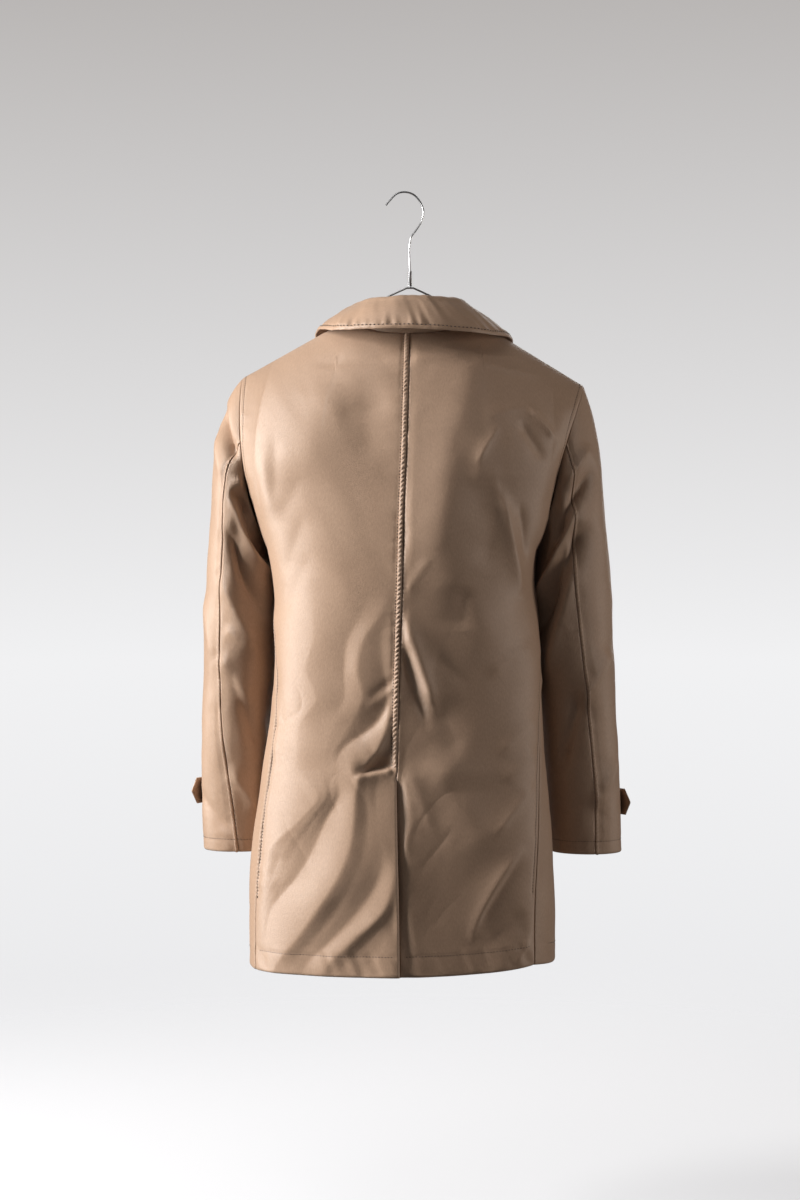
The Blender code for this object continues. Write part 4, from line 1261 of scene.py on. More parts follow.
BACK_RIGHT_FOLDS = (
    Fold(-0.009, -0.583, 0.035, -0.712, 0.0105, 0.016, 0.0056),
    Fold(-0.011, -0.625, 0.022, -0.728, 0.009, 0.008, -0.0038),
    Fold(0.030, -0.680, 0.064, -0.770, 0.018, 0.018, -0.0020),
    Fold(0.026, -0.770, 0.114, -0.905, 0.042, 0.040, 0.0046),
    Fold(-0.007, -0.775, 0.034, -0.875, 0.012, 0.014, 0.0014),
    Fold(0.148, -0.894, 0.081, -1.010, 0.013, 0.0085, 0.0038, -0.005),
    Fold(0.147, -0.905, 0.089, -0.996, 0.007, 0.012, -0.0024),
    Fold(0.166, -0.806, 0.112, -0.874, 0.011, 0.009, 0.0026),
    Fold(0.170, -0.716, 0.120, -0.766, 0.011, 0.009, 0.0018),
    Fold(0.174, -0.762, 0.124, -0.802, 0.011, 0.009, 0.0021),
    Fold(0.178, -0.948, 0.143, -1.041, 0.006, 0.005, 0.0022, 0.004),
    Fold(0.164, -0.622, 0.106, -0.660, 0.011, 0.009, 0.0020),
    Fold(0.152, -0.976, 0.100, -1.012, 0.012, 0.012, -0.0020),
    Fold(0.030, -0.634, 0.082, -0.676, 0.014, 0.014, -0.0014),
    Fold(0.123, -0.414, 0.156, -0.556, 0.013, 0.008, 0.0040, -0.003),
    Fold(0.147, -0.434, 0.159, -0.509, 0.008, 0.008, -0.0028),
    Fold(0.160, -0.303, 0.194, -0.346, 0.006, 0.006, 0.0034),
    Fold(0.148, -0.322, 0.180, -0.374, 0.010, 0.009, -0.0032),
    Fold(0.098, -0.317, 0.168, -0.299, 0.012, 0.012, 0.0012),
    Fold(0.098, -0.345, 0.086, -0.410, 0.014, 0.014, 0.0011),
    Fold(0.110, -0.385, 0.117, -0.450, 0.014, 0.014, 0.0012),
    Fold(0.124, -0.404, 0.098, -0.516, 0.030, 0.020, -0.0026),
    Fold(0.072, -0.546, 0.068, -0.599, 0.018, 0.013, -0.0024),
    Fold(0.026, -0.505, -0.010, -0.556, 0.009, 0.008, 0.0011),
    Fold(-0.003, -0.239, 0.079, -0.232, 0.007, 0.008, 0.0012),
    Fold(0.070, -0.236, 0.156, -0.230, 0.009, 0.009, 0.0010),
    Fold(0.068, -0.306, 0.034, -0.540, 0.046, 0.042, 0.0054, -0.006),
    Fold(0.056, -0.330, 0.104, -0.470, 0.036, 0.036, -0.0018),
    Fold(0.039, -0.509, 0.118, -0.628, 0.045, 0.040, 0.0028),
    Fold(0.117, -0.330, 0.087, -0.382, 0.007, 0.006, 0.0013),
    Fold(0.111, -0.404, 0.128, -0.448, 0.005, 0.005, 0.0011),
    Fold(0.088, -0.243, 0.176, -0.257, 0.006, 0.007, 0.0012),
    Fold(0.030, -0.222, 0.106, -0.231, 0.005, 0.006, 0.0010),
    Fold(0.082, -0.230, 0.064, -0.336, 0.042, 0.030, 0.0022),
)
FRONT_LEFT_FOLDS = (
    Fold(-0.130, -0.420, -0.090, -0.640, 0.030, 0.026, 0.0050),
    Fold(-0.100, -0.760, -0.120, -1.040, 0.030, 0.034, 0.0055),
    Fold(-0.150, -0.560, -0.060, -0.720, 0.014, 0.018, 0.0028),
    Fold(-0.060, -0.800, -0.085, -0.980, 0.016, 0.020, -0.0030),
    Fold(-0.110, -0.300, -0.060, -0.420, 0.022, 0.018, 0.0022),
    Fold(-0.172, -0.366, -0.108, -0.492, 0.012, 0.016, 0.0030),
    Fold(-0.182, -0.402, -0.138, -0.526, 0.012, 0.014, -0.0030),
    Fold(-0.020, -0.352, -0.098, -0.286, 0.014, 0.014, 0.0016),
    Fold(-0.184, -0.598, -0.104, -0.642, 0.010, 0.011, 0.0026),
    Fold(-0.182, -0.622, -0.120, -0.668, 0.010, 0.010, -0.0026),
    Fold(-0.186, -0.690, -0.112, -0.734, 0.012, 0.011, 0.0022),
    Fold(-0.042, -0.806, -0.146, -1.012, 0.013, 0.022, 0.0038, 0.006),
    Fold(-0.150, -0.800, -0.176, -0.984, 0.012, 0.016, -0.0030),
    Fold(-0.020, -0.600, -0.064, -0.700, 0.013, 0.012, -0.0018),
    Fold(-0.030, -0.905, -0.066, -1.044, 0.011, 0.015, 0.0026, -0.004),
)
FRONT_RIGHT_FOLDS = (
    Fold(0.120, -0.430, 0.080, -0.650, 0.026, 0.030, 0.0050),
    Fold(0.085, -0.740, 0.110, -1.040, 0.034, 0.030, 0.0055),
    Fold(0.140, -0.550, 0.070, -0.690, 0.018, 0.014, 0.0028),
    Fold(0.055, -0.780, 0.070, -0.960, 0.020, 0.016, -0.0030),
    Fold(0.105, -0.300, 0.070, -0.420, 0.018, 0.022, 0.0022),
    Fold(0.176, -0.372, 0.118, -0.478, 0.016, 0.012, 0.0032),
    Fold(0.186, -0.410, 0.150, -0.540, 0.013, 0.012, -0.0028),
    Fold(0.178, -0.584, 0.116, -0.616, 0.010, 0.010, 0.0024),
    Fold(0.180, -0.614, 0.100, -0.664, 0.011, 0.010, -0.0028),
    Fold(0.182, -0.668, 0.124, -0.700, 0.011, 0.012, 0.0022),
    Fold(0.060, -0.824, 0.150, -1.022, 0.022, 0.013, 0.0036, -0.006),
    Fold(0.156, -0.780, 0.178, -0.960, 0.016, 0.012, -0.0028),
    Fold(0.104, -0.886, 0.128, -1.044, 0.012, 0.015, -0.0024),
    Fold(0.040, -0.560, 0.078, -0.676, 0.012, 0.014, -0.0018),
)
VENT_GROOVE = (
    Groove(-0.79, 0.010),
    Groove(-0.82, 0.016),
    Groove(-0.85, 0.021),
    Groove(-0.88, 0.013),
    Groove(-0.92, 0.017),
    Groove(-0.95, 0.014),
    Groove(-0.99, 0.018),
    Groove(-1.02, 0.025),
    Groove(-1.05, 0.031),
)


@dataclass
class Places:
    """Where the points of a body panel lie: distances from its edges, and places on the coat."""

    inner: Array
    outer: Array
    hem: Array
    top: Array
    x: Array
    z: Array


@dataclass
class BodyPanel:
    """One of the four panels of the body."""

    shape: CoatShape
    side: Side
    part: Part
    folds: tuple[Fold, ...]
    flat: tuple[float, float]
    seed: int
    drape: tuple[Swell, ...] = ()
    wall: float = 0.003
    step: float = 0.0022
    row_step: float = 0.0023
    end_step: float = 0.0011
    inner_step: float = 0.0008
    outer_step: float = 0.0009
    across_long: float = 0.21
    skirt_long: float = 0.565
    under_long: float = 0.093
    yoke_long: float = 0.235
    fold_gain: float = 1.5
    drape_gain: float = 1.25
    ripples: tuple[Ripple, ...] = (
        Ripple(0.0015, 0.075, 0.55), Ripple(0.00052, 0.028, 0.34), Ripple(0.00013, 0.0125, 0.4),
    )
    creases: tuple[Ripple, ...] = (Ripple(0.0011, 0.060, 0.38), Ripple(0.0007, 0.036, 0.38))
    crease_sharp: float = 0.13
    waist_full: float = 0.0090
    waist_z: float = -0.560
    ridge_left: float = 0.0044
    ridge_right: float = 0.0080
    ridge_left_z: float = -0.320
    ridge_right_z: float = -0.450
    ridge_reach: float = 0.050
    hem_deep: float = 0.028
    hem_roll: Roll = Roll(0.0016, 0.003)
    hem_furrow: Furrow = Furrow(0.0006, 0.0016)
    hem_pucker: Pucker = Pucker(0.0013, 0.010)
    hem_slant: float = 0.45
    stitch_in: float = 0.006
    seam_furrow: Furrow = Furrow(0.0009, 0.0014)
    seam_pucker: Pucker = Pucker(0.0009, 0.010, 0.010)
    armhole_ease: float = 2.0 / 3.0
    side_groove_left: float = 0.0034
    side_groove_right: float = 0.0014
    armhole_groove: float = 0.0005
    groove_wide: float = 0.0022
    top_roll: Roll = Roll(0.0006, 0.0016)
    tack_z: float = -0.960
    welt_wide: float = 0.0068
    welt_high: float = 0.0018
    welt_furrow: Furrow = Furrow(0.0010, 0.0016)
    welt_pucker: Pucker = Pucker(0.0008, 0.007, 0.009)
    middle_pucker: Pucker = Pucker(0.0006, 0.008, 0.009)
    middle_roll: Roll = Roll(0.0020, 0.0022)
    vent_roll: Roll = Roll(0.0018, 0.0030)
    vent_start: float = 0.014
    vent_ease: float = 0.034
    vent_reach: float = 0.055
    vent_lift: float = 0.0024
    vent_sink: float = 0.0056
    vent_fall: float = 0.0040
    front_in: float = 0.008
    front_roll: Roll = Roll(0.0014, 0.0025)
    front_furrow: Furrow = Furrow(0.0005, 0.0014)
    front_pucker: Pucker = Pucker(0.0004, 0.013, 0.009)
    front_sink: float = 0.0056
    sink_reach: float = 0.038
    sink_full: float = 0.040
    edge_wear: float = 0.5
    worn_wide: float = 0.005

    @property
    def name(self) -> str:
        """The node's name."""
        return self.part.value + "_" + self.side.word

    @property
    def right(self) -> bool:
        """Whether the panel is one of the wearer's right side."""
        return self.side == Side.RIGHT

    def plain_grid(self) -> tuple[ClothGrid, Array]:
        """The panel without folds.

        Returns:
            Its grid, and each row's place up the panel.
        """
        row = self.row_step
        across = spread(self.across_long, self.step, self.inner_step, self.outer_step)
        skirt = spread(self.skirt_long, row, self.end_step, row)
        under = spread(self.under_long, row, row, row)[1:]
        yoke = spread(self.yoke_long, row, row, self.end_step)[1:]
        up = np.concatenate([skirt, 1.0 + under, 2.0 + yoke])
        points = self.shape.body_point(self.side, self.part, across[None, :], up[:, None])
        if self.part == Part.FRONT and self.right:
            past = points[..., 0] - self.shape.middle_x(points[..., 2]) - self.sink_full
            points[..., 1] -= self.front_sink * ease(1.0 - past / self.sink_reach)
        inside = points * np.array([0.0, 0.0, 1.0]) + np.array([-0.01, 0.0, 0.0])
        grid = self.shape.grid(points, inside)
        return grid, np.broadcast_to(up[:, None], points.shape[:2])

    def relief(self, grid: ClothGrid, up: Array) -> tuple[Array, Array]:
        """Folds, welts, furrows and puckers.

        Args:
            grid: The panel without them.
            up: Each row's place up the panel.

        Returns:
            The height and the wear of each point.
        """
        x = grid.points[..., 0] - self.shape.coat_x
        at = Places(*(grid.from_edge(edge) for edge in Edge), x, grid.points[..., 2])
        below = ease((self.shape.vent_top_z - at.z) / self.vent_start)
        above = ease((up - 1.02) / 0.10)
        high = self.hanging(at, below) + self.hem_relief(at)
        if self.part == Part.BACK:
            more, wear = self.middle_seam(at, below)
            more = more + self.seam_relief(at, above)
        else:
            more, wear = self.front_edge(at)
        groove = self.side_groove_right if self.right else self.side_groove_left
        sides = Roll(self.armhole_groove + (groove - self.armhole_groove) * (1.0 - above), self.groove_wide)
        high += more + sides.height(at.outer) + self.top_roll.height(at.top)
        return high, wear + self.edge_wear * ease(1.0 - at.hem / self.worn_wide)

    def hanging(self, at: Places, below: Array) -> Array:
        """The folds and the fall of the cloth.

        Args:
            at: Where the points lie.
            below: 1 below the top of the vent, 0 above it.

        Returns:
            The height of each point.
        """
        fade = ease(at.outer / 0.022) * ease(at.top / 0.030) * ease(at.inner / 0.011)
        high = fade * (self.fold_gain * fold_height(at.x, at.z, self.folds) + self.crinkle(at.x, at.z))
        if self.right:
            near = np.clip(1.0 - ((at.z - self.waist_z) / 0.13) ** 2, 0.0, 1.0)
            high += self.waist_full * near * ease(1.0 - at.outer / 0.09)
        if self.drape:
            drawn = ease(at.outer / 0.012) * np.maximum(ease(at.inner / 0.005), below)
            high += self.drape_gain * drape_height(at.x, at.z, self.drape) * drawn
        if self.part == Part.BACK:
            slack = self.ridge_right if self.right else self.ridge_left
            start = self.ridge_right_z if self.right else self.ridge_left_z
            drawn = ease((start - at.z) / 0.13) * ease(at.outer / 0.10)
            high -= slack * drawn * (1.0 - np.exp(-at.inner / self.ridge_reach))
        return high

    def crinkle(self, x: Array, z: Array) -> Array:
        """The soft unevenness of cloth that hangs, drawn out along the drape."""
        lean = x * 0.85 + z * 0.53
        down = z * 0.85 - x * 0.53
        if self.right:
            lean = x * 0.80 - z * 0.60
            down = z * 0.80 + x * 0.60
        broad, middle, fine = self.ripples
        high = broad.height(lean, down, self.seed) + middle.height(lean, down, self.seed + 3)
        high += fine.height(lean * 0.9 + 0.1, down, self.seed + 5)
        low_down = 0.15 + 0.85 * ease((-0.50 - z) / 0.12)
        for crease, seed in zip(self.creases, (self.seed + 31, self.seed + 37)):
            line = np.abs(bumps(lean, down * crease.drawn, crease.cell, seed))
            some = ease(1.4 * bumps(x, z, 0.09, seed + 1) + 0.3) * low_down
            high -= crease.high * some * np.exp(-line / self.crease_sharp)
        return high

    def hem_relief(self, at: Places) -> Array:
        """The rolled hem, its furrow and its slanted puckers."""
        high = self.hem_roll.height(at.hem)
        high += self.hem_furrow.height(at.hem - self.hem_deep) * ease((at.outer - 0.01) / 0.02)
        in_hem = ease(at.hem / 0.006) * ease((self.hem_deep + 0.012 - at.hem) / 0.014)
        slanted = at.x + self.hem_slant * at.hem
        return high + in_hem * self.hem_pucker.height(slanted, 0.0 * at.x, self.seed + 7)

    def seam_relief(self, at: Places, above: Array) -> Array:
        """The furrow and puckers beside the side seam and the armhole.

        Args:
            at: Where the points lie.
            above: 1 beside the armhole, 0 beside the side seam.

        Returns:
            The height that they add.
        """
        sewn = np.maximum(above, ease((at.z - self.tack_z) / 0.004) * (1.0 - above))
        high = self.seam_furrow.height(at.outer - self.stitch_in) * (1.0 - self.armhole_ease * above)
        away = np.clip(at.outer - self.stitch_in, 0.0, 1.0)
        high += self.seam_pucker.height(at.z, away, self.seed + 11) * ease(at.outer / 0.004)
        return sewn * high

    def front_edge(self, at: Places) -> tuple[Array, Array]:
        """The rolled and stitched edge down the middle of a front: its height and wear."""
        high = self.front_roll.height(at.inner) + self.front_furrow.height(at.inner - self.front_in)
        away = np.clip(at.inner - self.front_in, 0.0, 1.0)
        high += self.front_pucker.height(at.z, away, self.seed + 9)
        return high, self.edge_wear * ease(1.0 - at.inner / self.worn_wide)

    def middle_seam(self, at: Places, below: Array) -> tuple[Array, Array]:
        """The welt and puckers of the centre back seam, and the vent under it.

        Args:
            at: Where the points lie.
            below: 1 below the top of the vent, 0 above it.

        Returns:
            The height and the wear that they add.
        """
        far = np.abs(at.x - self.shape.middle_x(at.z))
        opened = ease((self.shape.vent_top_z - at.z) / self.vent_ease)
        if self.right:
            away = np.clip(at.inner - 0.001, 0.0, 1.0)
            sewn = self.middle_pucker.height(at.z, away, self.seed + 21) + self.middle_roll.height(at.inner)
            high = -self.vent_sink * opened * ease(1.0 - far / column(VENT_GROOVE, "wide", at.z))
            high -= self.vent_fall * opened * ease(far / 0.060) * ease((0.170 - far) / 0.090)
            return high + (1.0 - below) * sewn, 0.0 * high
        away = np.clip(at.inner - self.welt_wide, 0.0, 1.0)
        sewn = self.welt_pucker.height(at.z, away, self.seed + 25) * ease(at.inner / 0.009)
        sewn += self.welt_furrow.height(at.inner - self.welt_wide - 0.0012)
        high = self.vent_lift * opened * ease(1.0 - far / self.vent_reach) + (1.0 - below) * sewn
        high += below * self.vent_roll.height(at.inner)
        return high, self.edge_wear * below * ease(1.0 - at.inner / 0.004)

    def kept_rows(self, grid: ClothGrid, up: Array) -> tuple[Array, Array]:
        """Which rows of points the centre back seam and the stitched side seam run over."""
        heights = grid.points[..., 2].mean(axis=1)
        return heights > self.shape.vent_top_z + 0.001, (up[:, 0] < 0.999) & (heights > self.tack_z)

    def stitch_rows(self, grid: ClothGrid, up: Array) -> list[tuple[Array, Array]]:
        """The rows of stitches that show on the panel."""
        seam, side = self.kept_rows(grid, up)
        line, out = grid.line(Edge.FIRST_ROW, self.hem_deep)
        keep = slice(4, len(line) - 8)
        rows = [(line[keep], out[keep])]
        line, out = grid.line(Edge.LAST_COLUMN, self.stitch_in)
        armhole = up[:, 0] > 1.06
        rows.append((line[armhole], out[armhole]))
        if self.part == Part.FRONT:
            return rows + [grid.line(Edge.FIRST_COLUMN, self.front_in)]
        rows.append((line[side], out[side]))
        if not self.right:
            line, out = grid.line(Edge.FIRST_COLUMN, self.welt_wide + 0.0014)
            rows.append((line[seam], out[seam]))
        return rows

    def bar_tack(self, grid: ClothGrid, finishes: Finishes) -> Piece:
        """The short bar of dense stitches that ends the side seam's topstitching."""
        ends = [grid.line(Edge.LAST_COLUMN, place) for place in (0.0006, 0.0080)]
        row = int(np.argmin(np.abs(ends[0][0][:, 2] - self.tack_z)))
        line = np.stack([points[row] for points, _ in ends])
        out = np.stack([normals[row] for _, normals in ends])
        bar = Stitching(pitch=0.0009, long=0.0008, radius=0.0018, proud=0.0002)
        return carried(bar.sew(self.name + "_bar_tack", [(line, out)], finishes.thread), "cloth")

    def seam_rolls(self, grid: ClothGrid, up: Array, finishes: Finishes) -> list[Piece]:
        """The turned edges that stand proud beside the left back's sewn seams, and the bar tack."""
        if self.part == Part.FRONT or self.right:
            return []
        seam, side = self.kept_rows(grid, up)
        welt = SeamRoll(self.welt_wide, self.welt_high, 0.00160, seed=self.seed + 23)
        turned = SeamRoll(0.0052, 0.0016, 0.00125, seed=self.seed + 27)
        return [
            welt.along(self.name + "_welt", grid, Edge.FIRST_COLUMN, seam, finishes),
            turned.along(self.name + "_side_roll", grid, Edge.LAST_COLUMN, side, finishes),
            self.bar_tack(grid, finishes),
        ]

    def build(self, finishes: Finishes) -> ClothGrid:
        """Makes the panel and its stitches.

        Args:
            finishes: The materials.

        Returns:
            The panel's finished grid.
        """
        plain, up = self.plain_grid()
        high, wear = self.relief(plain, up)
        grid = plain.raised(high)
        rows = self.stitch_rows(grid, up)
        piece, sewing = sewn_cloth(self.name, grid, self.wall, wear, rows, finishes)
        rolls = self.seam_rolls(grid, up, finishes)
        plain.area()
        return grid


@dataclass
class VentUnderlap:
    """The strip of the right back that runs on under the left one below the vent."""

    shape: CoatShape
    wide: float = 0.042
    top_z: float = -0.836
    slope_in: float = 0.0045
    wall: float = 0.003
    columns: int = 18
    gap: float = 0.0002
    hem_deep: float = 0.028
    hem_roll: Roll = Roll(0.0016, 0.003)
    hem_furrow: Furrow = Furrow(0.0005, 0.0016)

    def build(self, right_back: ClothGrid, finishes: Finishes) -> None:
        """Makes the strip from the right back's middle edge.

        Args:
            right_back: The finished grid of the right back.
            finishes: The materials.
        """
        edge = right_back.points[:, 0] - np.array([self.shape.coat_x, 0.0, 0.0])
        edge = edge[edge[:, 2] <= self.top_z]
        z = edge[:, 2]
        middle = self.shape.middle_x(z)
        half = middle - column(self.shape.levels, "left_x", z)
        depth = column(self.shape.levels, "back_y", z) - column(self.shape.levels, "widest_y", z)
        power = 2.0 / self.shape.fullness
        strips = []
        for gone in np.linspace(self.wide, self.gap, self.columns):
            x = edge[:, 0] - gone
            sine = np.clip((middle - x) / half, 0.0, 1.0) ** (1.0 / power)
            y = edge[:, 1] - depth * (1.0 - np.sqrt(1.0 - sine ** 2) ** power)
            strips.append(np.stack([x, y + self.slope_in * gone / self.wide, z], -1))
        points = np.stack(strips, axis=1)
        grid = self.shape.grid(points, points * np.array([1.0, 0.0, 1.0]))
        hem = grid.from_edge(Edge.FIRST_ROW)
        high = self.hem_roll.height(hem) + self.hem_furrow.height(hem - self.hem_deep)
        grid = grid.raised(high)
        piece = grid.object("vent_underlap_cloth", self.wall, finishes.cloth, 0.0 * high)
        carried(piece, "cloth", "vent_underlap")
        grid.area()


SLEEVE_LEFT_CREASES = (
    Crease(0.01, -0.300, 0.37, -0.364, 0.0070, 0.0085, -0.0092),
    Crease(0.05, -0.335, 0.33, -0.392, 0.012, 0.012, 0.0018),
    Crease(0.44, -0.398, 0.68, -0.424, 0.007, 0.008, 0.0032),
    Crease(0.45, -0.416, 0.68, -0.444, 0.008, 0.008, -0.0040),
    Crease(0.44, -0.428, 0.92, -0.540, 0.010, 0.010, 0.0046),
    Crease(0.42, -0.474, 0.78, -0.578, 0.014, 0.013, -0.0054),
    Crease(0.66, -0.440, 0.90, -0.512, 0.011, 0.010, -0.0040),
    Crease(0.37, -0.535, 0.70, -0.635, 0.013, 0.015, 0.0030),
    Crease(0.37, -0.640, 0.62, -0.700, 0.014, 0.017, 0.0028),
    Crease(0.44, -0.655, 0.70, -0.760, 0.014, 0.014, -0.0030),
    Crease(0.42, -0.602, 0.62, -0.622, 0.010, 0.010, 0.0022),
    Crease(0.05, -0.560, 0.30, -0.640, 0.020, 0.020, 0.0018),
    Crease(0.04, -0.830, 0.30, -0.880, 0.010, 0.010, -0.0020),
    Crease(0.40, -0.800, 0.62, -0.850, 0.014, 0.014, 0.0024),
    Crease(-0.40, -0.430, -0.08, -0.516, 0.012, 0.012, 0.0026),
    Crease(-0.40, -0.462, -0.12, -0.552, 0.013, 0.013, -0.0028),
    Crease(-0.38, -0.502, -0.16, -0.584, 0.012, 0.012, 0.0018),
    Crease(-0.40, -0.610, -0.10, -0.644, 0.010, 0.011, 0.0024),
    Crease(-0.40, -0.634, -0.14, -0.676, 0.011, 0.012, -0.0026),
    Crease(-0.36, -0.676, -0.12, -0.718, 0.010, 0.012, 0.0018),
    Crease(-0.38, -0.772, -0.16, -0.800, 0.012, 0.012, -0.0016),
    Crease(1.18, -0.506, 1.52, -0.458, 0.012, 0.012, 0.0022),
    Crease(1.16, -0.544, 1.52, -0.492, 0.013, 0.013, -0.0026),
    Crease(1.22, -0.642, 1.52, -0.602, 0.012, 0.012, 0.0020),
    Crease(1.20, -0.682, 1.50, -0.644, 0.012, 0.012, -0.0020),
)
SLEEVE_RIGHT_CREASES = (
    Crease(0.20, -0.354, 0.42, -0.402, 0.009, 0.010, 0.0028),
    Crease(0.20, -0.386, 0.56, -0.482, 0.011, 0.012, -0.0048),
    Crease(0.34, -0.436, 0.80, -0.560, 0.012, 0.012, 0.0048),
    Crease(0.30, -0.470, 0.80, -0.600, 0.015, 0.016, -0.0056),
    Crease(0.40, -0.486, 0.56, -0.546, 0.009, 0.009, 0.0030),
    Crease(0.36, -0.520, 0.72, -0.660, 0.016, 0.016, 0.0028),
    Crease(0.14, -0.632, 0.42, -0.704, 0.016, 0.016, 0.0030),
    Crease(0.40, -0.690, 0.70, -0.790, 0.017, 0.016, -0.0030),
    Crease(0.14, -0.782, 0.36, -0.844, 0.013, 0.013, 0.0022),
    Crease(-0.40, -0.442, -0.10, -0.536, 0.012, 0.012, 0.0018),
    Crease(-0.39, -0.476, -0.14, -0.560, 0.012, 0.014, -0.0020),
    Crease(-0.40, -0.590, -0.12, -0.628, 0.010, 0.012, 0.0015),
    Crease(-0.40, -0.622, -0.10, -0.668, 0.011, 0.011, -0.0017),
    Crease(-0.38, -0.660, -0.16, -0.694, 0.010, 0.010, 0.0013),
    Crease(-0.37, -0.748, -0.14, -0.786, 0.012, 0.012, -0.0012),
    Crease(1.16, -0.520, 1.52, -0.466, 0.012, 0.013, 0.0015),
    Crease(1.18, -0.560, 1.50, -0.506, 0.013, 0.012, -0.0017),
    Crease(1.20, -0.656, 1.52, -0.614, 0.012, 0.012, 0.0014),
    Crease(1.24, -0.694, 1.50, -0.660, 0.011, 0.012, -0.0013),
)
SLEEVE_LEFT_LEVELS = (
    SleeveLevel(-0.560, -0.2830, 0.0460, 0.028, 0.072, 62.0),
    SleeveLevel(-0.640, -0.2860, 0.0470, 0.034, 0.068, 64.0),
    SleeveLevel(-0.740, -0.2910, 0.0480, 0.050, 0.062, 71.0),
    SleeveLevel(-0.824, -0.2930, 0.0480, 0.068, 0.057, 86.0),
    SleeveLevel(-0.913, -0.2915, 0.0480, 0.082, 0.053, 96.0),
)
SLEEVE_RIGHT_LEVELS = (
    SleeveLevel(-0.560, 0.2800, 0.0540, 0.026, 0.067, 90.0),
    SleeveLevel(-0.640, 0.2830, 0.0535, 0.030, 0.065, 84.0),
    SleeveLevel(-0.740, 0.2890, 0.0520, 0.036, 0.061, 80.0),
    SleeveLevel(-0.824, 0.2940, 0.0510, 0.043, 0.056, 78.0),
    SleeveLevel(-0.913, 0.2970, 0.0500, 0.050, 0.053, 80.0),
)


